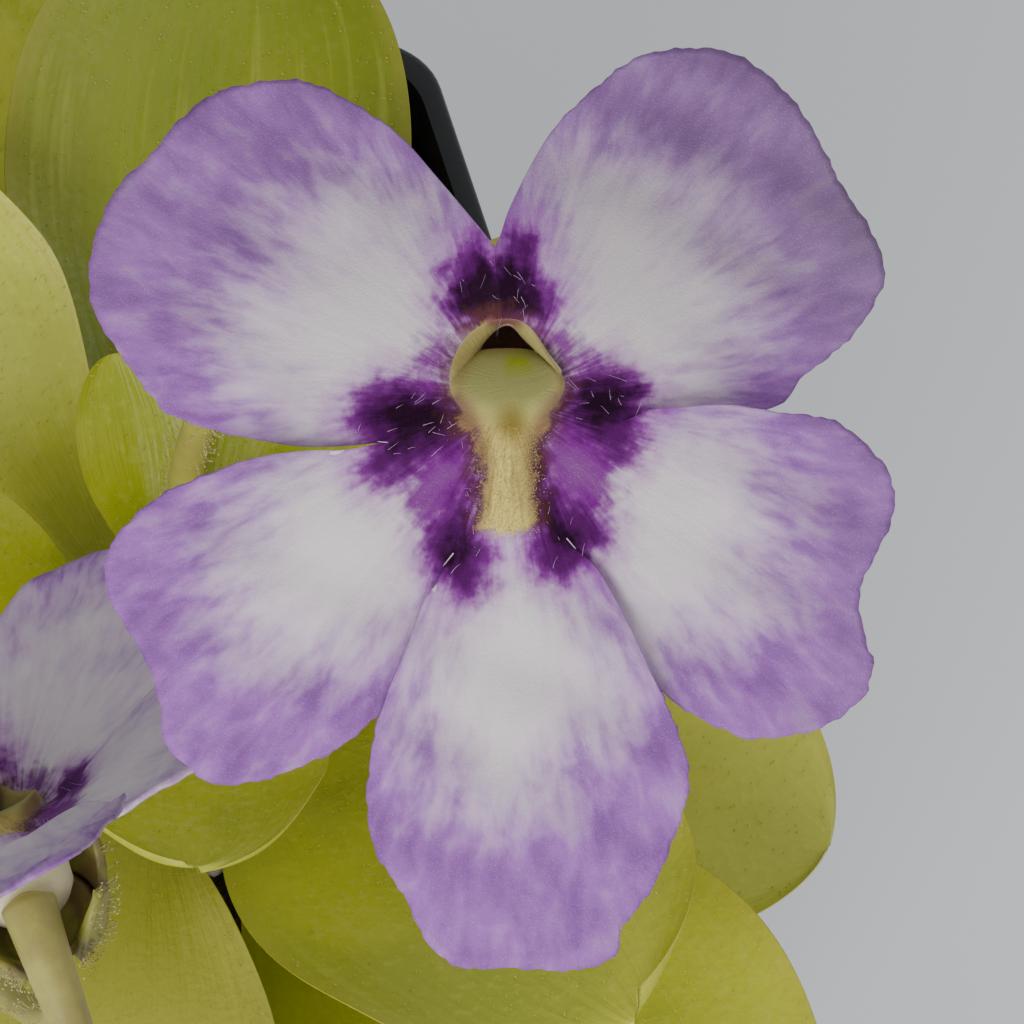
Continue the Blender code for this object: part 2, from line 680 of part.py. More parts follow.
def build_flower(number, look, roll, fold, reach, scale, start, rise, leave, parts, cutters, materials):
    """One flower with all its pieces and its stalk."""
    turn = Matrix.Rotation(VIEW_TURN, 3, "Z")
    place = CROWN + Vector((0, 0, SOIL_LEVEL + 2.0)) + turn @ reach
    frame = flower_frame(look, roll, place, scale)
    empty = bpy.data.objects.new(f"flower_{number}", None)
    empty.matrix_world = frame
    parts.objects.link(empty)
    bpy.context.view_layer.update()
    build_corolla(f"flower_{number}_corolla", fold, empty, parts, cutters, materials)
    build_calyx(f"flower_{number}_calyx", empty, parts, materials)
    build_pistil(f"flower_{number}_pistil", empty, parts, materials)
    for side, word in ((-1, "left"), (1, "right")):
        path = [(side * 1.15, 0.95, -4.95), (side * 1.3, 0.95, -4.5), (side * 1.4, 1.2, -4.1), (side * 1.25, 1.5, -3.7)]
        tube_mesh(
            f"flower_{number}_stamen_{word}", path, (0.18, 0.18, 0.2, 0.34, 0.2), materials["stamen"], parts, empty, 1, 6
        )
    back = CALYX_BASE + CALYX_AXIS * (CALYX_CUP[0][0] + 0.1 + SEPAL_THICKNESS + STALK_GAP)
    end = (frame @ (back * MM)) / MM
    axis = (frame.to_3x3() @ CALYX_AXIS).normalized()
    build_stalk(f"flower_{number}_stalk", start, turn @ rise, end, axis * leave, parts, materials)


def main():
    clear_scene()
    parts = new_collection("butterwort")
    cutters = new_collection("cutters")
    materials = make_materials()
    build_pot(parts, cutters, materials)
    build_soil(parts, cutters, materials)
    build_crown(parts, materials)
    for index in range(LEAF_COUNT + 1):
        build_leaf(index, parts, materials)
    top = CROWN + Vector((0, 0, CROWN_TOP + 0.65))
    build_flower(
        1, (0.0, 0.0, 1.0), 0.0, 0.0, FLOWER_1_REACH, 1.0,
        top + Vector((0.9, 0.3, 0.0)), Vector((0.0, -8.0, 42.0)), 18.0, parts, cutters, materials,
    )
    build_flower(
        2, FLOWER_2_LOOK, FLOWER_2_ROLL, FLOWER_2_FOLD, FLOWER_2_REACH, FLOWER_2_SCALE,
        top + Vector((-0.9, -0.9, 0.1)), Vector((-19.0, -24.0, 20.0)), 16.0, parts, cutters, materials,
    )


main()
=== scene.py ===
"""Looks of a potted butterwort in flower: corollas, hairs, rosette, soil, pot and a small studio."""

import math
from functools import partial

import bmesh
import bpy
import numpy as np
from bpy.props import FloatProperty, FloatVectorProperty, IntProperty, PointerProperty
from mathutils import Matrix, Vector, noise


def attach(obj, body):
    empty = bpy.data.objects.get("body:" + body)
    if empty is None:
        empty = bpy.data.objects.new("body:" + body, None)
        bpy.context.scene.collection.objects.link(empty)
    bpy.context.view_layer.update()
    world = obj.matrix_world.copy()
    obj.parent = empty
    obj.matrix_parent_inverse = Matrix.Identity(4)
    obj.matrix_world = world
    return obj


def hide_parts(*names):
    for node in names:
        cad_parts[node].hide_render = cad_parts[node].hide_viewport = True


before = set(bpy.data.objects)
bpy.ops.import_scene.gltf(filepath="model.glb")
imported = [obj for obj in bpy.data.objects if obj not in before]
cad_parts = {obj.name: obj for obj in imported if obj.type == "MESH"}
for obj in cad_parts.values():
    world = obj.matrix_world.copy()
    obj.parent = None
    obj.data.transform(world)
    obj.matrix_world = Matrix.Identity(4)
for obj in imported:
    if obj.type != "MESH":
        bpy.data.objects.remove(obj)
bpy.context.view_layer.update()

bl_info = {
    "name": "Potted butterwort",
    "version": (1, 0, 0),
    "blender": (4, 5, 0),
    "location": "3D View > Sidebar > Butterwort",
    "description": "Builds the finished surfaces of a flowering butterwort in its pot",
    "category": "Add Mesh",
}

MM = 0.001

# Where things are, in millimetres: the middle of the pot's underside is the origin
CROWN = np.array((8.2, -8.5, 0.0))
SOIL_LEVEL = 55.0
CROWN_TOP = 66.0
CROWN_RADIUS = 4.0
LEAF_COUNT = 15
VIEW_TURN = math.radians(-15.0)
VIEW_TILT = math.radians(55.0)
VIEW_DISTANCE = 200.0
PIXELS_PER_MM = 28.33
FLOWER_PIXEL = (507.2, 398.5)
IMAGE_SIZE = 1024
SENSOR_WIDTH = 36.0
# Each flower's middle from a point just above the soil, in the view's turned axes, and which way it looks
REACH_FROM = SOIL_LEVEL + 2.0
REACH = {1: (17.6, -46.9, 92.4), 2: (-2.9, -45.2, 61.8)}
LOOK = {1: (0.0, 0.0, 1.0), 2: (-0.26, 0.80, 0.54)}
ROLL = {1: 0.0, 2: math.radians(35.0)}
FOLD = {1: 0.0, 2: math.radians(35.0)}

# Corolla, faced: each lobe's outline in millimetres from the flower's middle, clockwise from the left
# notch.  The ends are the notches that it shares with its neighbours.
NOTCHES = ((-4.39, -1.54), (-0.43, 5.36), (4.07, -0.79), (2.29, -5.25), (-2.0, -5.64))
UPPER_LEFT = (
    (-5.82, -1.68), (-7.39, -1.68), (-8.79, -1.46), (-10.5, -1.14), (-11.93, -0.64), (-12.43, -0.32),
    (-13.71, 1.29), (-14.86, 3.04), (-15.11, 4.46), (-14.93, 5.82), (-14.25, 7.43), (-13.61, 8.25),
    (-12.82, 8.93), (-11.96, 10.0), (-10.71, 11.04), (-9.21, 11.46), (-7.39, 11.54), (-5.64, 10.75),
    (-3.93, 9.54), (-2.54, 7.96), (-1.18, 6.32),
)
UPPER_RIGHT = (
    (-0.21, 5.89), (0.07, 6.75), (0.93, 8.5), (1.82, 9.89), (3.29, 11.36), (4.71, 12.36), (6.43, 12.71),
    (7.89, 12.61), (9.04, 12.0), (10.36, 10.75), (11.29, 9.29), (12.11, 7.68), (13.14, 6.04),
    (13.61, 4.5), (13.07, 3.18), (12.21, 2.07), (11.07, 1.14), (10.36, 0.57), (10.07, 0.0),
    (9.07, -0.42), (6.9, -0.75), (5.2, -0.85),
)
LOWER_RIGHT = (
    (4.57, -0.61), (5.04, -0.39), (5.96, -0.32), (7.75, -0.21), (9.54, -0.43), (11.32, -0.61),
    (12.36, -1.18), (13.54, -2.46), (13.82, -3.57), (13.75, -4.25), (13.43, -5.0), (12.93, -5.96),
    (12.57, -7.04), (12.86, -8.64), (13.11, -9.32), (12.96, -10.18), (12.71, -10.71), (11.71, -11.5),
    (10.64, -11.93), (8.64, -12.14), (7.82, -11.86), (6.82, -11.39), (5.64, -10.61), (4.5, -9.3),
    (3.3, -7.5), (2.6, -6.2),
)
LOWEST = (
    (2.71, -5.57), (3.29, -6.18), (4.21, -7.82), (5.07, -9.57), (5.86, -11.21), (6.46, -12.93),
    (6.39, -14.29), (5.79, -16.07), (5.07, -17.61), (4.14, -18.82), (4.04, -19.54), (3.61, -20.04),
    (2.25, -20.39), (0.14, -20.32), (-1.71, -20.29), (-2.89, -19.36), (-3.71, -17.68), (-4.75, -16.04),
    (-5.04, -14.29), (-4.96, -13.29), (-4.68, -11.61), (-4.14, -10.14), (-3.61, -8.93), (-2.96, -7.21),
    (-2.54, -6.57),
)
LOWER_LEFT = (
    (-2.2, -6.6), (-3.0, -8.5), (-4.1, -10.7), (-4.96, -11.64), (-6.11, -12.54), (-7.36, -13.11),
    (-8.79, -13.61), (-10.43, -13.79), (-11.39, -13.18), (-12.29, -12.21), (-12.39, -11.11),
    (-12.79, -9.61), (-13.46, -8.39), (-14.14, -7.32), (-14.39, -6.36), (-14.29, -5.43),
    (-13.61, -4.46), (-12.46, -3.43), (-10.96, -2.75), (-9.21, -2.14), (-7.43, -1.86), (-5.61, -1.79),
)
# Outline, slope away from the mouth and how far the lobe stands in front of its neighbours
LOBES = (
    (UPPER_LEFT, -0.22, -0.10),
    (UPPER_RIGHT, -0.19, -0.25),
    (LOWER_RIGHT, -0.06, 0.12),
    (LOWEST, -0.02, 0.45),
    (LOWER_LEFT, -0.05, 0.0),
)
MOUTH = (0.0, 0.6)
MOUTH_SIDE = 2.05
MOUTH_ABOVE = 2.25
MOUTH_BELOW = 1.6
# Lobes bend and fold from this distance on
BEND_START = 2.6
# Stretches the angle round the flower to the width that its flecks have on the lobes
FLECK_SPREAD = 8.5
# Stands for a point that is well clear of every margin
CLEAR = 9.0
# Throat sections behind the mouth: depth, middle, half width, rise of the roof, fall of the floor, and how
# much nearer the floor lies than the rest.  The floor swells up and leaves a small arch.
THROAT = (
    (-0.62, 0.72, 1.93, 2.06, 1.30, 0.84), (-0.90, 0.92, 1.78, 1.83, 0.95, 0.98),
    (-1.15, 1.18, 1.55, 1.56, 0.55, 0.86), (-1.40, 1.45, 1.27, 1.27, 0.12, 0.52),
    (-1.65, 1.66, 1.05, 1.04, -0.12, 0.22), (-2.00, 1.72, 0.99, 0.98, -0.12, 0.0),
    (-2.50, 1.60, 1.10, 1.05, 0.25, 0.0), (-3.10, 1.30, 1.50, 1.40, 0.95, 0.0),
    (-4.00, 1.10, 1.90, 1.80, 1.80, 0.0), (-4.70, 1.15, 1.85, 1.75, 1.75, 0.0),
    (-5.20, 1.25, 1.60, 1.55, 1.55, 0.0), (-5.70, 1.32, 1.15, 1.15, 1.15, 0.0),
    (-6.00, 1.35, 0.80, 0.80, 0.80, 0.0), (-6.20, 1.38, 0.35, 0.35, 0.35, 0.0),
)
SPUR_PATH = ((0.0, -0.6, -4.2), (0.0, -2.6, -5.7), (0.0, -4.7, -8.4), (0.0, -6.8, -11.3), (0.0, -8.8, -14.3))
SPUR_RADII = (1.15, 0.95, 0.80, 0.70, 0.45)

# Marks of the face, as outlines in the same millimetres
YELLOW_ZONE = (
    (-1.18, 2.79), (-1.71, 2.14), (-2.0, 1.2), (-2.18, 0.54), (-2.1, 0.1), (-1.85, -0.5), (-1.75, -1.1),
    (-1.25, -1.35), (-1.1, -2.2), (-1.0, -3.0), (-1.05, -3.9), (-1.1, -4.6), (-0.5, -5.0), (0.4, -4.85),
    (1.0, -4.6), (1.05, -3.8), (1.1, -2.9), (1.1, -1.9), (1.25, -1.3), (1.6, -1.0), (1.9, -0.2),
    (2.04, 0.54), (1.5, 1.43), (1.1, 1.96), (0.6, 2.68), (-0.28, 2.93),
)
PURPLE_ZONES = (
    (
        (-2.25, 2.93), (-2.36, 3.57), (-2.18, 4.18), (-2.3, 4.7), (-1.9, 5.1), (-1.54, 5.5), (-1.0, 5.7),
        (-0.71, 5.36), (-0.43, 4.95), (-0.2, 5.4), (0.1, 5.79), (0.5, 6.0), (0.96, 5.71), (1.21, 5.18),
        (1.14, 4.64), (1.32, 4.11), (1.71, 3.86), (1.86, 3.39), (1.5, 2.93), (1.14, 2.68), (0.61, 2.93),
        (0.6, 2.0), (-0.2, 1.9), (-1.0, 2.1), (-1.54, 2.68),
    ),
    (
        (-5.36, 0.0), (-4.75, 0.54), (-4.04, 0.79), (-3.32, 0.71), (-2.79, 0.43), (-2.2, 0.2),
        (-1.7, -0.18), (-1.4, -0.89), (-1.2, -1.6), (-1.5, -2.1), (-2.43, -2.21), (-2.96, -2.5),
        (-3.68, -2.86), (-4.39, -3.21), (-5.0, -2.93), (-5.21, -2.32), (-4.86, -1.79), (-5.46, -1.43),
        (-5.64, -0.71),
    ),
    (
        (2.14, 0.18), (2.39, 0.71), (2.93, 1.14), (3.64, 1.21), (4.36, 1.0), (5.0, 0.54), (4.89, 0.0),
        (5.0, -0.43), (4.64, -0.89), (4.79, -1.61), (4.36, -2.21), (3.71, -2.43), (3.29, -1.96),
        (2.86, -1.61), (2.2, -1.3), (1.6, -0.9), (1.8, -0.4),
    ),
    (
        (-1.0, -2.5), (-1.43, -2.86), (-1.89, -3.39), (-2.43, -4.0), (-2.79, -4.64), (-2.96, -5.36),
        (-2.79, -6.07), (-2.25, -6.61), (-1.71, -7.07), (-1.18, -7.14), (-0.82, -6.61), (-0.64, -5.89),
        (-0.57, -5.29), (-1.07, -4.82), (-1.25, -4.11), (-1.18, -3.39), (-0.89, -2.86),
    ),
    (
        (0.96, -1.43), (1.32, -1.96), (1.43, -2.86), (1.86, -3.21), (2.57, -3.57), (3.29, -3.93),
        (3.57, -4.46), (3.46, -5.18), (2.93, -5.54), (2.57, -6.14), (1.86, -6.5), (1.32, -6.25),
        (0.86, -5.71), (0.79, -5.18), (1.04, -4.64), (1.14, -3.93), (0.89, -3.21), (0.71, -2.14),
    ),
)
DARK_ZONES = (
    (
        (-2.07, 3.93), (-1.64, 4.18), (-1.18, 4.46), (-1.07, 5.07), (-0.82, 5.18), (-0.57, 4.71),
        (-0.36, 4.57), (-0.18, 4.93), (0.14, 5.18), (0.5, 4.93), (0.79, 4.46), (0.96, 3.93), (1.32, 3.57),
        (1.32, 3.04), (0.7, 2.7), (-0.11, 2.7), (-1.0, 2.8), (-1.64, 2.79), (-1.89, 3.04),
    ),
    (
        (-4.39, 0.0), (-3.68, 0.29), (-2.79, 0.07), (-2.14, -0.07), (-1.89, -0.71), (-2.07, -1.25),
        (-2.61, -1.43), (-3.32, -1.79), (-4.04, -2.14), (-4.39, -1.79), (-4.04, -1.25), (-4.75, -0.89),
    ),
    (
        (2.29, 0.0), (2.75, 0.54), (3.46, 0.71), (4.18, 0.54), (4.54, 0.18), (4.18, -0.36), (3.64, -0.89),
        (3.29, -1.25), (2.75, -0.89), (2.29, -0.43),
    ),
    (
        (-1.43, -3.75), (-1.71, -4.46), (-2.07, -5.0), (-2.36, -5.54), (-2.25, -6.0), (-1.79, -6.07),
        (-1.36, -5.71), (-1.18, -5.18), (-1.29, -4.46),
    ),
    (
        (1.25, -3.39), (1.57, -3.93), (2.04, -4.29), (2.57, -4.64), (2.75, -5.18), (2.39, -5.43),
        (1.86, -5.29), (1.43, -4.82), (1.14, -4.11),
    ),
)
# Where each lobe stays white, in the order of LOBES
WHITE_ZONES = (
    (
        (0.0, 3.0), (-1.0, 5.5), (-2.2, 6.9), (-3.0, 7.3), (-4.5, 7.8), (-6.0, 7.9), (-7.2, 6.8),
        (-8.5, 6.7), (-8.5, 5.0), (-8.9, 4.2), (-10.5, 3.2), (-10.1, 1.9), (-9.6, 0.6), (-8.7, -0.5),
        (-8.0, -2.2), (-4.0, -2.4), (0.0, 0.0),
    ),
    (
        (0.0, 3.0), (0.8, 5.5), (1.4, 6.4), (1.6, 7.9), (3.0, 8.8), (4.7, 8.8), (6.1, 7.9), (7.7, 7.7),
        (7.7, 5.8), (9.0, 5.0), (8.8, 3.6), (9.0, 2.2), (8.2, 1.0), (7.6, -0.2), (7.6, -1.5), (3.0, -1.5),
        (0.0, 0.0),
    ),
    (
        (0.0, 0.0), (4.3, -0.2), (6.5, -0.5), (7.5, -0.9), (8.4, -1.3), (9.2, -2.0), (9.7, -2.9),
        (9.9, -3.9), (9.9, -5.0), (9.3, -6.0), (9.4, -8.0), (7.9, -8.4), (6.5, -8.8), (5.6, -9.7),
        (4.0, -9.7), (2.0, -6.4), (0.0, -3.0),
    ),
    (
        (0.0, -4.0), (-2.0, -5.5), (-3.0, -7.5), (-3.3, -9.1), (-3.3, -10.4), (-3.2, -11.6),
        (-2.8, -12.9), (-2.1, -14.1), (-0.9, -15.0), (0.6, -14.6), (1.8, -14.1), (2.2, -12.5),
        (3.3, -12.3), (3.8, -11.4), (4.0, -10.4), (4.2, -9.2), (3.8, -8.0), (2.6, -5.8),
    ),
    (
        (0.0, 0.0), (-4.5, -1.0), (-7.5, -1.9), (-8.6, -2.8), (-9.4, -3.8), (-10.1, -5.0), (-10.2, -6.5),
        (-9.9, -8.1), (-8.7, -9.2), (-7.2, -9.8), (-5.6, -9.7), (-4.3, -9.2), (-3.0, -8.6), (-2.0, -6.5),
        (0.0, -4.0),
    ),
)
PETAL_MARKS = (
    "across", "away", "violet", "rim", "faint", "purple", "dark", "yellow", "borders", "depth", "wall",
    "olive", "lime", "brown", "shade", "face", "veil",
)
FAINT_ZONES = (
    (
        (-2.43, -1.61), (-1.64, -1.43), (-1.36, -2.14), (-1.43, -3.21), (-2.25, -3.93), (-2.96, -4.29),
        (-3.32, -3.57), (-2.96, -2.68),
    ),
    (
        (1.5, -1.07), (2.21, -0.89), (2.93, -1.61), (3.46, -2.32), (3.64, -3.21), (2.93, -3.75),
        (1.86, -3.39), (1.43, -2.5),
    ),
    ((-2.79, 1.79), (-2.07, 1.79), (-2.0, 1.4), (-2.5, 1.2), (-2.9, 1.4)),
    ((-2.8, 0.8), (-2.5, 0.9), (-2.4, 0.5), (-2.5, 0.2), (-2.9, 0.4)),
    ((1.4, 2.3), (2.0, 2.2), (2.4, 1.7), (2.1, 1.3), (1.8, 1.6)),
)
# Bare yellow walls on both sides of the throat
EAR_ZONES = (
    (
        (-0.86, 2.79), (-1.36, 2.5), (-1.86, 1.79), (-2.25, 1.0), (-2.36, 0.29), (-2.07, 0.05),
        (-1.75, 0.29), (-1.5, 0.79), (-1.21, 1.43), (-0.89, 1.79), (-0.64, 2.32),
    ),
    (
        (0.6, 2.7), (1.0, 2.2), (1.45, 1.5), (1.9, 0.8), (2.05, 0.3), (1.9, 0.3), (1.7, 0.8), (1.25, 1.5),
        (0.8, 2.0),
    ),
)

CALYX_BASE = np.array((0.0, 1.45, -6.7))
CALYX_AXIS = np.array((0.0, 0.25, -0.97)) / math.hypot(0.25, 0.97)
CALYX_CUP = ((1.15, 0.55), (0.75, 1.75), (-0.30, 2.60))
SEPAL_ANGLES = (90.0, 25.0, -38.0, -142.0, 155.0)
SEPAL_HALF_ANGLE = 30.0
SEPAL_LENGTH = 3.0
SEPAL_FLARE = 0.9
SEPAL_THICKNESS = 0.4
CALYX_SHAPE = (13, 96)
SEPAL_SHAPE = (19, 13)

STALKS = {
    1: {"start": (0.9, 0.3, 0.0), "rise": (0.0, -8.0, 42.0), "leave": 18.0},
    2: {"start": (-0.9, -0.9, 0.1), "rise": (-19.0, -24.0, 20.0), "leave": 16.0},
}
# A stalk's radius at its foot, its middle and its top, and how its last points widen into the calyx
STALK_RADII = (0.95, 0.65, 0.65)
STALK_COLLAR = (1.03, 1.10, 1.20, 1.30)

# Columns of a lobe and rows from its mouth to its margin, as shown and as the throat's hairs are set
PETAL_GRID = {1: (134, 54), 2: (70, 26)}
HAIR_GRID = (70, 40)
# Nearer than this, the points where two lobes meet become one
WELD_DISTANCE = 0.002

# Radii of the throat's hairs and of the beads on others, counts and the seeds of all that is scattered
FINE_HAIR = 0.011
BEAD_RADIUS = 0.055
PALATE_HAIRS = 1500
CALYX_HAIRS = 420
STALK_HAIRS = {1: 700, 2: 480}
SEEDS = {"blotches": 11, "palate": 21, "calyx": 31, "stalk": 41, "soil": 61, "leaf": 100}

# Node settings that come up often: an eased step, and a mix of two colours
EASED = {"interpolation_type": "SMOOTHSTEP"}
TINTED = {"out": 2, "data_type": "RGBA"}


def linear(text):
    """Linear red, green, blue and alpha of an sRGB hex colour."""
    values = [int(text[k : k + 2], 16) / 255 for k in (1, 3, 5)]
    return tuple(v / 12.92 if v <= 0.04045 else ((v + 0.055) / 1.055) ** 2.4 for v in values) + (1.0,)


def linear_all(colours):
    """The same for a whole set of named colours."""
    return {key: linear(text) for key, text in colours.items()}


def smooth(low, high, value):
    """Runs from 0 at the first value to 1 at the second, with eased ends."""
    share = np.clip((np.asarray(value, float) - low) / (high - low), 0.0, 1.0)
    return share * share * (3 - 2 * share)


def unit(vectors):
    return vectors / np.linalg.norm(vectors, axis=-1, keepdims=True)


def evenly(points, count):
    """Evenly spaced points along the straight stretches between the given ones."""
    travelled = np.concatenate(((0.0,), np.cumsum(np.linalg.norm(np.diff(points, axis=0), axis=1))))
    goal = np.linspace(0.0, travelled[-1], count)
    return np.column_stack([np.interp(goal, travelled, points[:, k]) for k in range(points.shape[1])])


def resampled(points, count):
    """Evenly spaced points along a smooth curve through the given ones."""
    given = np.asarray(points, float)
    padded = np.vstack((2 * given[0] - given[1], given, 2 * given[-1] - given[-2]))
    t = (np.arange(12) / 12)[:, None]
    dense = []
    for k in range(1, len(padded) - 2):
        a, b, c, d = padded[k - 1 : k + 3]
        square, cube = 2 * a - 5 * b + 4 * c - d, 3 * b - a - 3 * c + d
        dense.append(0.5 * (2 * b + (c - a) * t + square * t**2 + cube * t**3))
    return evenly(np.vstack((*dense, given[-1:])), count)


def segment_distance(points, a, b):
    """Distance from points to the straight stretch from a to b."""
    along = b - a
    share = np.clip(((points - a) @ along) / max(along @ along, 1e-12), 0.0, 1.0)
    return np.linalg.norm(points - a - share[:, None] * along, axis=1)


def inside_distance(points, outline):
    """Distance from points to an outline in millimetres, positive inside it."""
    ring = np.asarray(outline, float)
    inside = np.zeros(len(points), bool)
    nearest = np.full(len(points), 1e9)
    for a, b in zip(ring, np.roll(ring, -1, axis=0)):
        nearest = np.minimum(nearest, segment_distance(points, a, b))
        crosses = (a[1] > points[:, 1]) != (b[1] > points[:, 1])
        rise = b[1] - a[1] if b[1] != a[1] else 1e-9
        inside ^= crosses & (points[:, 0] < (b[0] - a[0]) * (points[:, 1] - a[1]) / rise + a[0])
    return np.where(inside, nearest, -nearest)


def grid_faces(rows, columns, first=0, around=False):
    """Quads between rows of equal length, with each row's end joined to its start if it runs around."""
    width = columns if around else columns - 1
    r, c = np.meshgrid(np.arange(rows - 1), np.arange(width), indexing="ij")
    a = first + r * columns + c
    b = first + r * columns + (c + 1) % columns
    return np.stack((a, b, b + columns, a + columns), axis=-1).reshape(-1, 4)


def closed_rings(rings, ends=None):
    """Points and faces of a skin over rings of equal length, with a fan over each end."""
    ends = (rings[0].mean(axis=0), rings[-1].mean(axis=0)) if ends is None else ends
    count, width = len(rings), len(rings[0])
    around = np.arange(width)
    following = (around + 1) % width
    last = (count - 1) * width
    caps = np.vstack((
        np.column_stack((following, around, np.full(width, count * width))),
        np.column_stack((last + around, last + following, np.full(width, count * width + 1))),
    ))
    return np.vstack((*rings, *ends)), [grid_faces(count, width, around=True), caps]


def make_piece(name, points, faces, material, slot, attributes=None, smooth_shade=True, matrix=None):
    """A mesh object on the plant, from points in millimetres and one or more arrays of faces."""
    groups = [np.asarray(f) for f in (faces if isinstance(faces, list) else [faces]) if len(f)]
    sizes = np.concatenate([np.full(len(f), f.shape[1]) for f in groups])
    loops = np.concatenate([f.reshape(-1) for f in groups])
    mesh = bpy.data.meshes.new(name)
    mesh.vertices.add(len(points))
    mesh.vertices.foreach_set("co", (np.asarray(points, float) * MM).reshape(-1))
    mesh.loops.add(len(loops))
    mesh.loops.foreach_set("vertex_index", loops.astype(np.int32))
    mesh.polygons.add(len(sizes))
    mesh.polygons.foreach_set("loop_start", np.concatenate(((0,), np.cumsum(sizes)[:-1])).astype(np.int32))
    mesh.update(calc_edges=True)
    if smooth_shade:
        mesh.shade_smooth()
    for key, values in (attributes or {}).items():
        layer = mesh.attributes.new(key, "FLOAT", "POINT")
        layer.data.foreach_set("value", np.asarray(values, np.float32))
    mesh.materials.append(material)
    piece = bpy.data.objects.new(name, mesh)
    bpy.context.scene.collection.objects.link(piece)
    if matrix is not None:
        mesh.transform(matrix)
    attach(piece, "root")
    return piece


def plain_object(name, shape):
    """An object made from a bmesh, which is freed."""
    mesh = bpy.data.meshes.new(name)
    shape.to_mesh(mesh)
    shape.free()
    made = bpy.data.objects.new(name, mesh)
    bpy.context.scene.collection.objects.link(made)
    return made


def thicken(piece, thickness, offset):
    """Gives an open sheet its thickness, on the side that the offset tells."""
    sheet = piece.modifiers.new("thickness", "SOLIDIFY")
    sheet.thickness = thickness
    sheet.offset = offset
    return sheet


def scatter(points, quads, weights, count, seed):
    """Seeded random spots on a surface: their places, the surface's directions there and the generator."""
    tris = np.vstack((quads[:, (0, 1, 2)], quads[:, (0, 2, 3)]))
    a, b, c = (points[tris[:, k]] for k in range(3))
    normal = np.cross(b - a, c - a)
    area = np.linalg.norm(normal, axis=1)
    chance = area * weights[tris].mean(axis=1)
    rng = np.random.default_rng(seed)
    picked = rng.choice(len(tris), count, p=chance / chance.sum())
    s, t = rng.random(count), rng.random(count)
    flip = s + t > 1
    s[flip], t[flip] = 1 - s[flip], 1 - t[flip]
    place = a[picked] + (b - a)[picked] * s[:, None] + (c - a)[picked] * t[:, None]
    return place, normal[picked] / np.maximum(area[picked], 1e-12)[:, None], rng


def hair_mesh(roots, ways, lengths, radii, bends, sides=3, rings=4, taper=0.25):
    """Tapered hairs, each a bent tube with a pointed end."""
    ways = unit(ways)
    other = np.where(np.abs(ways[:, 2:3]) < 0.9, np.array((0.0, 0.0, 1.0)), np.array((1.0, 0.0, 0.0)))
    side = unit(np.cross(ways, other))
    front = np.cross(ways, side)
    share = np.arange(rings) / rings
    centre = roots[:, None] + ways[:, None] * (lengths[:, None] * share)[..., None]
    centre = centre + bends[:, None] * (lengths[:, None] * share**2)[..., None]
    angle = 2 * math.pi * np.arange(sides) / sides
    spoke = side[:, None] * np.cos(angle)[None, :, None] + front[:, None] * np.sin(angle)[None, :, None]
    width = radii[:, None] * (1 - (1 - taper) * share)
    ring = centre[:, :, None] + spoke[:, None] * width[..., None, None]
    tip = (roots + ways * lengths[:, None] + bends * lengths[:, None])[:, None]
    points = np.concatenate((ring.reshape(len(roots), -1, 3), tip), axis=1)
    per = rings * sides + 1
    quads = grid_faces(rings, sides, around=True)
    last = (rings - 1) * sides
    tris = np.array([(last + k, last + (k + 1) % sides, per - 1) for k in range(sides)])
    step = (np.arange(len(roots)) * per)[:, None, None]
    return points.reshape(-1, 3), [(quads[None] + step).reshape(-1, 4), (tris[None] + step).reshape(-1, 3)]


def bead_mesh(places, radii, detail=1, squash=None):
    """Small round beads, each a copy of one ball."""
    ball = bmesh.new()
    bmesh.ops.create_icosphere(ball, subdivisions=detail, radius=1.0)
    base = np.array([v.co[:] for v in ball.verts])
    tris = np.array([[v.index for v in f.verts] for f in ball.faces])
    ball.free()
    scale = radii[:, None, None] if squash is None else radii[:, None, None] * squash[:, None]
    points = places[:, None] + base[None] * scale
    step = (np.arange(len(places)) * len(base))[:, None, None]
    return points.reshape(-1, 3), (tris[None] + step).reshape(-1, 3)


def beaded_hairs(name, hairs, tips, radii, material, slot, matrix=None):
    """Gland hairs: hairs with a bead on each tip, as one piece."""
    points, (quads, tris) = hairs
    beads, bead_faces = bead_mesh(tips, radii)
    faces = [quads, np.vstack((tris, bead_faces + len(points)))]
    return make_piece(name, np.vstack((points, beads)), faces, material, slot, matrix=matrix)


def add(tree, kind, inputs=None, out=0, **settings):
    """Adds a shader node with its settings, links the sockets among its inputs, and gives an output."""
    made = tree.nodes.new("ShaderNode" + kind)
    for key, value in settings.items():
        setattr(made, key, value)
    for key, value in (inputs or {}).items():
        if isinstance(value, bpy.types.NodeSocket):
            tree.links.new(value, made.inputs[key])
        else:
            made.inputs[key].default_value = value
    return made.outputs[out] if len(made.outputs) else None


def start_material(name):
    """An empty material, and the function that adds nodes to it."""
    material = bpy.data.materials.new(name)
    material.use_nodes = True
    material.node_tree.nodes.clear()
    return material, partial(add, material.node_tree)


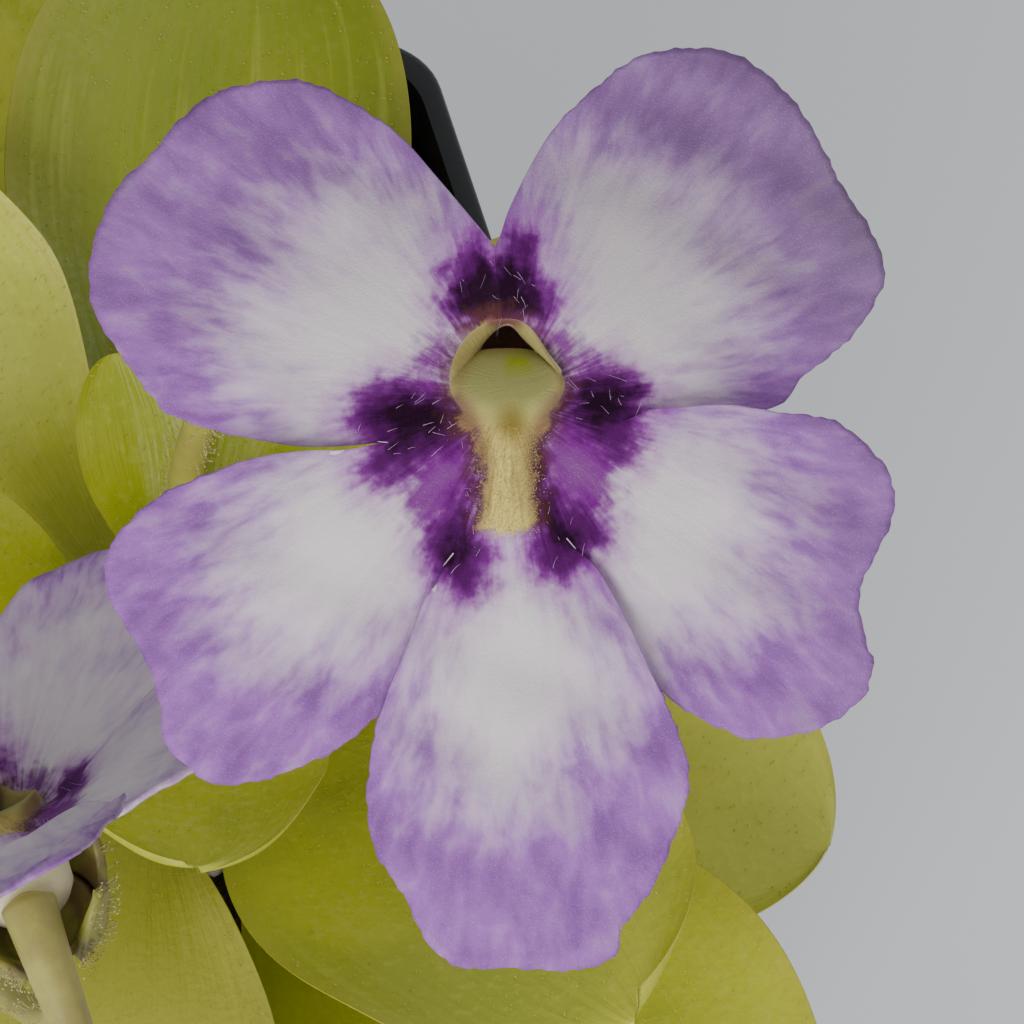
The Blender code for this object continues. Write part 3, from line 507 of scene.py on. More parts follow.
def petal_material(colours):
    # Living petal, grown: a matt skin of tiny round cells.  They scatter the light softly and sparkle a
    # little, and the pigment lies in clouds and in flecks that run out from the mouth.
    material, node = start_material("Petal skin, papillose")
    marks = {key: node("Attribute", out="Fac", attribute_name=key) for key in PETAL_MARKS}
    squeezed = node("Math", {0: marks["away"], 1: 0.26}, operation="MULTIPLY")
    fleck_at = node("CombineXYZ", {0: marks["across"], 1: squeezed})
    # Flecks 0.5 mm wide and 2 mm long, clouds 3 mm, mottle 0.6 mm and grain 0.3 mm across
    flecks = node("TexNoise", {
        "Vector": fleck_at, "Scale": 1.9, "Detail": 3.0, "Roughness": 0.55, "Distortion": 0.2,
    })
    place = node("TexCoord", out="Object")
    clouds = node("TexNoise", {"Vector": place, "Scale": 330.0, "Detail": 2.0})
    mottle = node("TexNoise", {"Vector": place, "Scale": 1500.0, "Detail": 3.0, "Roughness": 0.5})
    grain = node("TexNoise", {"Vector": place, "Scale": 3600.0, "Detail": 2.0, "Roughness": 0.5})
    stir, feather = -3.85, -1.3
    for noise_value, amount in ((flecks, 3.6), (clouds, 3.0), (mottle, 1.2)):
        stir = node("Math", {0: noise_value, 1: amount, 2: stir}, operation="MULTIPLY_ADD")
    for noise_value, amount in ((flecks, 0.9), (mottle, 1.1), (grain, 0.5)):
        feather = node("Math", {0: noise_value, 1: amount, 2: feather}, operation="MULTIPLY_ADD")

    # Violet comes in from the margin as a haze with darker flecks and pale streaks between them
    edge = node("Math", {0: marks["violet"], 1: 1.1, 2: stir}, operation="MULTIPLY_ADD")
    haze = node("MapRange", {0: edge, 1: -3.7, 2: 2.3, 4: 0.98}, **EASED)
    base = node("Mix", {0: haze, 6: colours["white"], 7: colours["violet"]}, **TINTED)
    near = node("MapRange", {0: edge, 1: -1.6, 2: 1.8}, **EASED)
    for low, high, most, colour in ((0.40, 0.70, 0.74, "deep_violet"), (0.47, 0.29, 0.15, "white")):
        share = node("MapRange", {0: flecks, 1: low, 2: high, 4: most}, **EASED)
        share = node("Math", {0: share, 1: near}, operation="MULTIPLY")
        base = node("Mix", {0: share, 6: base, 7: colours[colour]}, **TINTED)

    # Painted shade: the upper lobes, and the far right of the right-hand lobes, are painted greyer where less
    # light reaches them
    base = node("Mix", {0: marks["veil"], 6: base, 7: colours["veil"]}, **TINTED)

    # The blotches: a wide pale halo, light purple, the purple itself and its nearly black heart
    for mark, low, high, most, colour in (
        ("purple", -1.70, 0.05, 0.60, "lilac"),
        ("faint", -0.90, 0.15, 0.90, "light_purple"),
        ("purple", -0.65, 0.20, 0.90, "light_purple"),
        ("purple", -0.20, 0.60, 0.95, "purple"),
        ("dark", -0.35, 0.50, 0.94, "blackish"),
    ):
        stroke = node("Math", {0: feather, 1: marks[mark]}, operation="ADD")
        amount = node("MapRange", {0: stroke, 1: low, 2: high, 4: most}, **EASED)
        base = node("Mix", {0: amount, 6: base, 7: colours[colour]}, **TINTED)

    # Yellow throat and palate, edged with bronze where the purple meets them
    border = node("Math", {0: feather, 1: 0.9, 2: marks["yellow"]}, operation="MULTIPLY_ADD")
    bronze = node("MapRange", {0: border, 1: -0.75, 2: 0.0, 4: 0.85}, **EASED)
    bronze = node("Math", {0: bronze, 1: marks["borders"]}, operation="MULTIPLY")
    base = node("Mix", {0: bronze, 6: base, 7: colours["bronze"]}, **TINTED)
    lining = node("Mix", {0: marks["depth"], 6: colours["palate"], 7: colours["throat"]}, **TINTED)
    for mark in ("olive", "brown", "wall", "lime"):
        lining = node("Mix", {0: marks[mark], 6: lining, 7: colours[mark]}, **TINTED)
    blotched = node("MapRange", {0: flecks, 1: 0.44, 2: 0.70, 4: 0.45}, **EASED)
    upper = node("Math", {0: 1.0, 1: marks["depth"]}, operation="SUBTRACT")
    blotched = node("Math", {0: blotched, 1: upper}, operation="MULTIPLY")
    lining = node("Mix", {0: blotched, 6: lining, 7: colours["brown"]}, **TINTED)
    inside = node("MapRange", {0: border, 1: -0.10, 2: 0.30}, **EASED)
    base = node("Mix", {0: inside, 6: base, 7: lining}, **TINTED)
    # Painted light: deep in the tube, where shade falls, the lining is painted paler so that the hole is not
    # black
    base = node("Mix", {0: marks["shade"], 6: base, 7: colours["hollow"]}, **TINTED)

    # Skin cells are 0.03 mm wide, drawn at 0.1 mm so that their sparkle shows
    cells = node("TexVoronoi", {"Vector": place, "Scale": 11000.0})
    glint = node("MapRange", {0: cells, 1: 0.30, 2: 0.05, 4: 0.14}, **EASED)
    glint = node("Math", {0: glint, 1: marks["face"]}, operation="MULTIPLY")
    clear = node("MapRange", {0: marks["purple"], 1: 0.1, 2: -1.0, 3: 0.08}, **EASED)
    glint = node("Math", {0: glint, 1: clear}, operation="MULTIPLY")
    base = node("Mix", {0: glint, 6: base, 7: colours["glint"]}, **TINTED)
    # Painted shade: a thin darker line along the free margins, where the petal's edge turns from the light
    rim = node("MapRange", {0: marks["rim"], 1: 0.11, 2: 0.02, 4: 0.15}, **EASED)
    base = node("Mix", {0: rim, 6: base, 7: colours["rim"]}, **TINTED)
    relief = node("Math", {0: cells, 1: 0.3, 2: flecks}, operation="MULTIPLY_ADD")
    bump = node("Bump", {"Strength": 0.35, "Distance": 0.00012, "Height": relief})
    skin = node("BsdfPrincipled", {
        "Base Color": base, "Normal": bump, "Roughness": 0.6, "Specular IOR Level": 0.06,
        "Sheen Weight": 0.02, "Sheen Roughness": 0.4,
    })
    node("OutputMaterial", {"Surface": skin})
    return material


def petal_back_material(colours):
    # The same petal from behind: smoother and paler, with the veins showing, and a yellow-green tube.
    material, node = start_material("Petal skin, back")
    marks = {key: node("Attribute", out="Fac", attribute_name=key) for key in ("across", "away", "violet")}
    # Veins 0.7 mm wide and 5.5 mm long, skin cells drawn at 0.14 mm
    squeezed = node("Math", {0: marks["away"], 1: 0.12}, operation="MULTIPLY")
    vein_at = node("CombineXYZ", {0: marks["across"], 1: squeezed})
    veins = node("TexNoise", {"Vector": vein_at, "Scale": 1.5, "Detail": 3.0})
    edge = node("Math", {0: veins, 1: 3.0, 2: marks["violet"]}, operation="MULTIPLY_ADD")
    full = node("MapRange", {0: edge, 1: -0.8, 2: 4.4, 4: 0.75}, **EASED)
    base = node("Mix", {0: full, 6: colours["white"], 7: colours["violet"]}, **TINTED)
    vein = node("MapRange", {0: veins, 1: 0.53, 2: 0.66, 4: 0.35}, **EASED)
    base = node("Mix", {0: vein, 6: base, 7: colours["light_purple"]}, **TINTED)
    middle = node("MapRange", {0: marks["away"], 1: 5.5, 2: 2.0, 4: 0.85}, **EASED)
    base = node("Mix", {0: middle, 6: base, 7: colours["tube"]}, **TINTED)
    place = node("TexCoord", out="Object")
    cells = node("TexVoronoi", {"Vector": place, "Scale": 7000.0})
    bump = node("Bump", {"Strength": 0.2, "Distance": 0.0001, "Height": veins})
    rough = node("MapRange", {0: cells, 1: 0.0, 2: 0.6, 3: 0.45, 4: 0.6})
    skin = node("BsdfPrincipled", {
        "Base Color": base, "Normal": bump, "Roughness": rough, "Specular IOR Level": 0.3, "Sheen Weight": 0.1,
    })
    node("OutputMaterial", {"Surface": skin})
    return material


def hair_material(name, low, high, roughness=0.3):
    # Living hair or its sticky drop: clear cells full of sap, so pale, glossy and uneven in tone, which
    # changes over 1.4 mm.
    material, node = start_material(name)
    tint = node("TexNoise", {"Vector": node("TexCoord", out="Object"), "Scale": 700.0, "Detail": 1.0})
    share = node("MapRange", {0: tint, 1: 0.35, 2: 0.65})
    colour = node("Mix", {0: share, 6: linear(low), 7: linear(high)}, **TINTED)
    node("OutputMaterial", {"Surface": node("BsdfPrincipled", {"Base Color": colour, "Roughness": roughness})})
    return material


def leaf_material(colours):
    # Fleshy leaf, grown: a greasy yellow-green skin, smooth from afar and finely pimpled with glands close
    # up, with faint veins, a thin browner margin and a darker foot.
    material, node = start_material("Leaf skin, greasy")
    place = node("TexCoord", out="Object")
    along = node("Attribute", out="Fac", attribute_name="along")
    side = node("Attribute", out="Fac", attribute_name="across")
    # Blush 15 mm across, gland pimples 0.5 mm apart, and a dozen veins across each blade
    blush = node("TexNoise", {"Vector": place, "Scale": 65.0, "Detail": 4.0, "Roughness": 0.55})
    fine = node("TexNoise", {"Vector": place, "Scale": 1900.0, "Detail": 3.0})
    vein_at = node("CombineXYZ", {0: node("Math", {0: side, 1: 5.0}, operation="MULTIPLY"), 1: along})
    veins = node("TexNoise", {"Vector": vein_at, "Scale": 2.4, "Detail": 3.0})
    share = node("MapRange", {0: blush, 1: 0.36, 2: 0.64}, **EASED)
    base = node("Mix", {0: share, 6: colours["green"], 7: colours["yellow"]}, **TINTED)
    # Each blade's own tone together with painted light and shade: by it a blade is painted paler or darker as a
    # whole
    tone = node("Attribute", out="Fac", attribute_name="tone")
    for value, low, high, most, colour in (
        (fine, 0.52, 0.70, 0.26, "pimple"),
        (tone, 0.5, 1.0, 0.9, "dark"),
        (tone, 0.5, 0.0, 0.9, "pale"),
        (along, 0.40, 0.0, 0.45, "shade"),
        (veins, 0.55, 0.72, 0.22, "vein"),
        (node("Math", {0: side}, operation="ABSOLUTE"), 0.86, 1.0, 0.25, "margin"),
    ):
        amount = node("MapRange", {0: value, 1: low, 2: high, 4: most}, **EASED)
        base = node("Mix", {0: amount, 6: base, 7: colours[colour]}, **TINTED)
    wet = node("MapRange", {0: fine, 1: 0.40, 2: 0.62, 3: 0.34, 4: 0.55})
    relief = node("Math", {0: fine, 1: 0.5, 2: veins}, operation="MULTIPLY_ADD")
    bump = node("Bump", {"Strength": 0.3, "Distance": 0.0003, "Height": relief})
    skin = node("BsdfPrincipled", {
        "Base Color": base, "Normal": bump, "Roughness": wet, "Specular IOR Level": 0.4,
    })
    node("OutputMaterial", {"Surface": skin})
    return material


def tissue_material(name, low, high, scale, roughness, depth):
    # Plant tissue or mineral grain, in two tones that run into each other over about 1/scale metres.
    material, node = start_material(name)
    cloud = node("TexNoise", {
        "Vector": node("TexCoord", out="Object"), "Scale": scale, "Detail": 5.0, "Roughness": 0.6,
    })
    share = node("MapRange", {0: cloud, 1: 0.36, 2: 0.64}, **EASED)
    colour = node("Mix", {0: share, 6: linear(low), 7: linear(high)}, **TINTED)
    bump = node("Bump", {"Strength": 0.4, "Distance": depth, "Height": cloud})
    skin = node("BsdfPrincipled", {"Base Color": colour, "Normal": bump, "Roughness": roughness})
    node("OutputMaterial", {"Surface": skin})
    return material


def soil_material(colours):
    # Sphagnum peat, milled and damp: matt, nearly black-brown and crumbly, in grains of about a millimetre.
    material, node = start_material("Peat, milled")
    place = node("TexCoord", out="Object")
    # Crumbs 1.1 mm across, with dust of 0.6 mm on them
    cells = node("TexVoronoi", {"Vector": place, "Scale": 900.0}, "Color")
    dust = node("TexNoise", {"Vector": place, "Scale": 1600.0, "Detail": 6.0, "Roughness": 0.7})
    share = node("MapRange", {0: node("SeparateColor", {0: cells}), 1: 0.2, 2: 0.9})
    base = node("Mix", {0: share, 6: colours["peat"], 7: colours["bark"]}, **TINTED)
    pale = node("MapRange", {0: dust, 1: 0.5, 2: 0.75, 4: 0.5}, **EASED)
    base = node("Mix", {0: pale, 6: base, 7: colours["dust"]}, **TINTED)
    bump = node("Bump", {"Strength": 0.8, "Distance": 0.0006, "Height": dust})
    skin = node("BsdfPrincipled", {"Base Color": base, "Normal": bump, "Roughness": 0.92})
    node("OutputMaterial", {"Surface": skin})
    return material


def pot_material(colours):
    # Polypropylene, vacuum-formed: black with a satin skin, faint orange peel and dusty water marks.
    material, node = start_material("Polypropylene, formed")
    # Orange peel 0.7 mm across, and dust in patches of 20 mm
    place = node("TexCoord", out="Object")
    peel = node("TexNoise", {"Vector": place, "Scale": 1400.0, "Detail": 2.0})
    dust = node("TexNoise", {"Vector": place, "Scale": 45.0, "Detail": 6.0, "Roughness": 0.65})
    share = node("MapRange", {0: dust, 1: 0.5, 2: 0.8, 4: 0.4}, **EASED)
    base = node("Mix", {0: share, 6: colours["black"], 7: colours["scuff"]}, **TINTED)
    rough = node("MapRange", {0: dust, 1: 0.35, 2: 0.75, 3: 0.34, 4: 0.55})
    bump = node("Bump", {"Strength": 0.25, "Distance": 0.0002, "Height": peel})
    skin = node("BsdfPrincipled", {"Base Color": base, "Normal": bump, "Roughness": rough})
    node("OutputMaterial", {"Surface": skin})
    return material


def view_axes():
    """Right, up and towards the camera, in the plant's frame."""
    turn = Matrix.Rotation(VIEW_TURN, 3, "Z")
    sine, cosine = math.sin(VIEW_TILT), math.cos(VIEW_TILT)
    return [turn @ Vector(axis) for axis in ((1.0, 0.0, 0.0), (0.0, sine, cosine), (0.0, -cosine, sine))]


def flower_place(number):
    """A flower's middle in the plant's millimetres."""
    turn = Matrix.Rotation(VIEW_TURN, 3, "Z")
    return Vector(CROWN) + Vector((0, 0, REACH_FROM)) + turn @ Vector(REACH[number])


def flower_matrix(number):
    """Turns a flower's own millimetres, +Z out of its face, into the plant's."""
    right, up, out = view_axes()
    look = LOOK[number]
    face = (right * look[0] + up * look[1] + out * look[2]).normalized()
    x_axis = up.cross(face).normalized()
    axes = Matrix((x_axis, face.cross(x_axis), face)).transposed() @ Matrix.Rotation(ROLL[number], 3, "Z")
    return Matrix.Translation(flower_place(number) * MM) @ axes.to_4x4()


def lobe_height(x, y, slope, forward, apart):
    """How far a lobe stands in front of the mouth: it slopes and curls back, and waves near its edge."""
    reach = np.hypot(x, y)
    out = np.maximum(0.0, reach - BEND_START)
    stand = 1 - np.exp(-apart / 0.9)
    height = (slope * out + forward) * stand - 0.006 * out**2
    ring = np.hypot(x / MOUTH_SIDE, (y - MOUTH[1]) / np.where(y > MOUTH[1], MOUTH_ABOVE, MOUTH_BELOW)) - 1
    height = height - 0.42 * np.exp(-ring * 2.0 / 0.8) * smooth(-1.2, 0.2, y)
    palate = np.exp(-((x / (0.75 + 0.12 * np.abs(y))) ** 2)) * smooth(-6.4, -4.2, y) * smooth(0.8, -1.6, y)
    wave = 0.20 * np.sin(0.9 * x - 0.6 * y) + 0.12 * np.sin(1.7 * y + 0.8 * x + 1.0)
    return height + 0.55 * palate + wave * smooth(5.0, 11.0, reach)


def folded(points, fold):
    """Points of the lobes, turned forward about the mouth by the fold angle."""
    reach = np.maximum(np.hypot(points[:, 0], points[:, 1]), 1e-6)
    out = np.maximum(0.0, reach - BEND_START)
    share = (reach - out + out * math.cos(fold)) / reach
    return np.column_stack((points[:, 0] * share, points[:, 1] * share, points[:, 2] + out * math.sin(fold)))


def ring_side(angle):
    """Half width of the mouth towards an angle; its upper right is cut off."""
    cut = np.clip(np.sin(2 * angle), 0.0, 1.0) * (np.cos(angle) > 0)
    return MOUTH_SIDE * np.cos(angle) * (1 - 0.24 * cut)


def ring_point(angle):
    """Points on the rim of the mouth."""
    below = np.sin(angle) < 0
    return np.column_stack((
        ring_side(angle),
        MOUTH[1] + np.where(below, MOUTH_BELOW, MOUTH_ABOVE) * np.sin(angle),
    ))


def scalloped(edge, number):
    """A lobe's outline with the small uneven scallops of its margin, all cut inwards."""
    step = np.gradient(edge, axis=0)
    length = np.linalg.norm(step, axis=1)
    along = np.cumsum(length)
    waves = 2 + np.sin(5.1 * along + number) + np.sin(9.3 * along + 2.3 * number + np.sin(1.7 * along))
    waves = waves * smooth(4.0, 7.0, along) * smooth(along[-1] - 4.0, along[-1] - 7.0, along)
    return edge + np.column_stack((step[:, 1], -step[:, 0])) * (0.028 * waves / length)[:, None]


# Angles round the mouth, among which the one of any point on its rim is looked up
RIM_ANGLES = np.linspace(-3.1415, 3.1415, 721)


def nearest_zone(flat, zones):
    """Distance to the nearest of several outlines, positive inside it."""
    return np.max([inside_distance(flat, zone) for zone in zones], axis=0)


def lobe_rows(number, across, outwards):
    """Points of a lobe in rows from the mouth to its margin, and their distances to the free margin."""
    outline, slope, forward = LOBES[number]
    notches = [np.array(NOTCHES[k % len(NOTCHES)]) for k in (number, number + 1)]
    edge = scalloped(resampled((notches[0], *outline, notches[1]), across + 1), number)
    start, end = (math.atan2(y - MOUTH[1], x) for x, y in notches)
    if end > start:
        end -= 2 * math.pi
    turn = np.linspace(start, end, across + 1)
    inner = ring_point(turn)
    reach = np.linspace(*(math.hypot(x, y - MOUTH[1]) for x, y in notches), across + 1)
    neck = np.column_stack((reach * np.cos(turn), MOUTH[1] + reach * np.sin(turn)))
    split = max(4, outwards // 3)
    share = np.linspace(0.0, 1.0, split + 1)[:-1, None, None]
    near_part = inner[None] * (1 - share) + neck[None] * share
    share = (np.linspace(0.0, 1.0, outwards + 1 - split) ** 1.1)[:, None, None]
    far_part = neck[None] * (1 - share) + edge[None] * share
    flat = np.concatenate((near_part, far_part)).reshape(-1, 2)
    apart = np.minimum(*(segment_distance(flat, a, b) for a, b in zip((inner[0], inner[-1]), notches)))
    free = resampled(outline, 90)
    to_edge = np.min([segment_distance(flat, a, b) for a, b in zip(free, free[1:])], axis=0)
    height = lobe_height(flat[:, 0], flat[:, 1], slope, forward, apart)
    return np.column_stack((flat, height)), to_edge


def fleck_angle(x, y):
    """Place round the flower, for the flecks."""
    return (np.arctan2(y, x) % (2 * math.pi)) * FLECK_SPREAD


def corolla_sheet(across, outwards, fold):
    """The corolla's face and the inside of its tube as one open sheet, with what its colours need."""
    points, faces, info = [], [], {"violet": [], "rim": [], "across": [], "away": []}
    rings, total = [], 0
    for number in range(len(LOBES)):
        lobe, to_edge = lobe_rows(number, across, outwards)
        points.append(lobe)
        faces.append(grid_faces(outwards + 1, across + 1, total))
        rings.append(total + np.arange(across))
        info["violet"].append(-inside_distance(lobe[:, :2], WHITE_ZONES[number]))
        info["rim"].append(to_edge)
        info["across"].append(fleck_angle(lobe[:, 0], lobe[:, 1]) + number * 3.0)
        info["away"].append(np.hypot(lobe[:, 0], lobe[:, 1]))
        total += len(lobe)
    mouth = np.concatenate(rings)
    base = np.vstack(points)[mouth]
    tall = np.where(base[:, 1] > MOUTH[1], MOUTH_ABOVE, MOUTH_BELOW)
    angle = np.arctan2((base[:, 1] - MOUTH[1]) / tall, base[:, 0] / MOUTH_SIDE)
    drawn = np.arctan2(np.sin(RIM_ANGLES), ring_side(RIM_ANGLES) / MOUTH_SIDE)
    angle = np.interp(angle, drawn, RIM_ANGLES)
    previous = mouth
    count = len(mouth)
    around = np.arange(count)
    for depth, middle, side, above, below, nearer in THROAT:
        rise = np.where(np.sin(angle) > 0, above, below)
        high = np.where(np.cos(angle) < 0, 0.40, 0.80)
        near = depth + nearer * smooth(high, high - 1.15, np.sin(angle))
        # The arch over the hole runs up to a blunt point
        pinch = 1 - 0.42 * smooth(-0.5, -1.4, depth) * np.maximum(np.sin(angle), 0.0)
        sideways = ring_side(angle) / MOUTH_SIDE * side * pinch
        ring = np.column_stack((sideways, middle + rise * np.sin(angle), near))
        ids = total + around
        faces.append(np.column_stack((previous, np.roll(previous, -1), np.roll(ids, -1), ids))[:, ::-1])
        points.append(ring)
        previous, total = ids, total + count
        info["violet"].append(np.full(count, -CLEAR))
        info["rim"].append(np.full(count, CLEAR))
        info["across"].append(fleck_angle(ring[:, 0], ring[:, 1] - MOUTH[1]))
        info["away"].append(np.full(count, 2.5 + depth))
    points.append(np.array(((0.0, 1.4, -6.3),)))
    tip = np.column_stack((previous, np.roll(previous, -1), np.full(count, total)))[:, ::-1]
    for key, value in (("violet", -CLEAR), ("rim", CLEAR), ("across", 0.0), ("away", 0.0)):
        info[key].append(np.array((value,)))
    sheet = np.vstack(points)
    info = {key: np.concatenate(values) for key, values in info.items()}
    lobes = len(sheet) - count * len(THROAT) - 1
    add_marks(info, sheet, np.arange(len(sheet)) >= lobes, fold)
    return folded(sheet, fold), np.vstack(faces), tip, info, lobes


def add_marks(info, sheet, throat, fold):
    """Adds how strongly each mark of the face shows at the sheet's points."""
    flat = sheet[:, :2]
    info["yellow"] = np.where(throat, 1.0, inside_distance(flat, YELLOW_ZONE))
    for key, zones in (("purple", PURPLE_ZONES), ("dark", DARK_ZONES), ("faint", FAINT_ZONES)):
        info[key] = np.where(throat, -3.0, nearest_zone(flat, zones))
    info["borders"] = np.where(
        throat, 0.0, 0.75 + 0.25 * np.maximum(smooth(0.5, -0.4, flat[:, 1]), smooth(2.2, 2.7, flat[:, 1]))
    ) * smooth(-4.9, -4.3, flat[:, 1])
    info["depth"] = smooth(-1.5, 0.1, flat[:, 1])
    info["wall"] = smooth(-0.22, 0.15, nearest_zone(flat, EAR_ZONES))
    narrow = np.interp(flat[:, 1], (-4.6, -3.5, -2.0, -1.0, -0.3, 0.4), (0.85, 0.6, 0.5, 0.75, 1.1, 1.7))
    lip = smooth(2.35, 2.75, flat[:, 1])
    info["brown"] = np.maximum(smooth(-0.20, 0.40, np.abs(flat[:, 0] - 0.03) - narrow) * 0.8, lip)
    seam = np.hypot((flat[:, 0] - 0.15) / 0.55, (flat[:, 1] + 1.0) / 0.75)
    info["olive"] = smooth(1.3, 0.2, seam) * 0.7
    spot = np.hypot((flat[:, 0] - 0.35) / 0.55, (flat[:, 1] - 1.45) / 0.28)
    info["lime"] = smooth(1.25, 0.5, spot) * np.where(throat, 0.85, 0.0)
    # Where the tube lies deep in shade; there the lining is given painted light
    info["shade"] = smooth(-1.5, -2.2, sheet[:, 2]) * throat
    info["face"] = np.where(throat, 0.0, 1.0)
    # Painted shade: the lobes are painted greyer upwards, more so on the right, and at their far right ends
    info["veil"] = smooth(-1.0, 7.0, flat[:, 1]) * (0.22 + 0.22 * smooth(-2.0, 8.0, flat[:, 0])) * ~throat
    info["veil"] = info["veil"] + 0.22 * smooth(8.5, 13.0, flat[:, 0])
    if fold:
        # The half-open flower is paler, with weaker blotches
        info["veil"] = np.zeros(len(sheet))
        info["violet"] = 0.4 * info["violet"] - 1.4
        info["purple"] = info["purple"] - 0.4
        info["dark"] = info["dark"] - 1.2


class CorollaSettings(bpy.types.PropertyGroup):
    thickness: FloatProperty(
        name="Petal thickness", description="Thickness of the lobes and tube", default=0.00018, unit="LENGTH"
    )
    white: FloatVectorProperty(
        name="Petal white", description="Pale middle of each lobe", subtype="COLOR", size=4,
        default=linear("#d5cccd"),
    )
    violet: FloatVectorProperty(
        name="Violet", description="Lighter tone of the margins", subtype="COLOR", size=4,
        default=linear("#975eae"),
    )
    deep_violet: FloatVectorProperty(
        name="Deep violet", description="Darker tone of the margins", subtype="COLOR", size=4,
        default=linear("#784b8e"),
    )
    purple: FloatVectorProperty(
        name="Purple", description="Blotches round the mouth", subtype="COLOR", size=4,
        default=linear("#490c50"),
    )
    palate: FloatVectorProperty(
        name="Palate yellow", description="Hairy strip below the mouth", subtype="COLOR", size=4,
        default=linear("#d5bf6a"),
    )
    hairs: IntProperty(name="Throat hairs", description="Long hairs on the blotches", default=58, min=0)


class LeafSettings(bpy.types.PropertyGroup):
    yellow: FloatVectorProperty(
        name="Leaf yellow", description="Sunlit tone of the blades", subtype="COLOR", size=4,
        default=linear("#b5b82c"),
    )
    green: FloatVectorProperty(
        name="Leaf green", description="Shaded tone of the blades", subtype="COLOR", size=4,
        default=linear("#949d1c"),
    )
    droplets: FloatProperty(
        name="Droplets", description="Glands on each square centimetre of blade", default=110.0, min=0.0
    )


class StageSettings(bpy.types.PropertyGroup):
    floor: FloatVectorProperty(
        name="Floor", description="Pale floor under the pot", subtype="COLOR", size=4,
        default=linear("#eff1f3"),
    )
    light: FloatProperty(
        name="Main light", description="Power of the soft main light", default=12.5, unit="POWER"
    )


class BUTTERWORT_OT_corollas(bpy.types.Operator):
    """Make both corollas: five lobes, mouth, tube and spur"""

    bl_idname = "butterwort.corollas"
    bl_label = "Corollas"

    def execute(self, context):
        look = context.scene.butterwort_corolla
        chosen = ("white", "violet", "deep_violet", "purple", "palate")
        colours = {key: tuple(getattr(look, key)) for key in chosen}
        colours |= linear_all({
            "lilac": "#9c4dab", "light_purple": "#6c1477", "blackish": "#1d0619", "bronze": "#502c2a",
            "throat": "#98965a", "wall": "#a0915a", "olive": "#8a7628", "lime": "#8d9a10", "brown": "#78524a",
            # Painted light deep in the tube, and painted shade on the lobes' edges and the upper lobes, take
            # their colours from here
            "hollow": "#e6c2ad", "glint": "#fff6ff", "rim": "#5a3f66", "tube": "#c9c08d", "veil": "#6f6670",
        })
        face = petal_material(colours)
        back = petal_back_material(colours)
        flesh = tissue_material("Spur, fleshy", "#a39f50", "#928748", 400.0, 0.5, 0.0001)
        for number, grid in PETAL_GRID.items():
            matrix = flower_matrix(number)
            points, quads, tip, info, _ = corolla_sheet(*grid, FOLD[number])
            faces = [quads, tip]
            piece = make_piece(f"flower_{number}_petals", points, faces, face, "petal", info, matrix=matrix)
            piece.data.materials.append(back)
            weld = piece.modifiers.new("join", "WELD")
            weld.merge_threshold = WELD_DISTANCE * MM
            thicken(piece, look.thickness, -1.0).material_offset = 1
            path = resampled(SPUR_PATH, 40)
            given = len(SPUR_RADII)
            radii = np.interp(np.linspace(0, given - 1, len(path)), range(given), SPUR_RADII)
            points, faces = tube(path, radii, 24)
            spur = make_piece(f"flower_{number}_spur", points, faces, flesh, "petal", matrix=matrix)
            for part in (piece, spur):
                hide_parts(f"flower_{number}_corolla")
        return {"FINISHED"}


# Length of the point that closes a tube, as a share of its radius
TIP_LENGTH = 0.6


def tube(path, radii, sides):
    """A round tube along a path, closed with a point at each end."""
    way = unit(np.gradient(path, axis=0))
    side = np.cross(way[0], (0.0, 0.0, 1.0) if abs(way[0][2]) < 0.9 else (1.0, 0.0, 0.0))
    rings = []
    angle = 2 * math.pi * np.arange(sides) / sides
    for centre, direction, radius in zip(path, way, radii):
        side = unit(side - direction * (side @ direction))
        front = np.cross(direction, side)
        rings.append(centre + radius * (np.cos(angle)[:, None] * side + np.sin(angle)[:, None] * front))
    reach = way * radii[:, None] * TIP_LENGTH
    return closed_rings(rings, (path[0] - reach[0], path[-1] + reach[-1]))


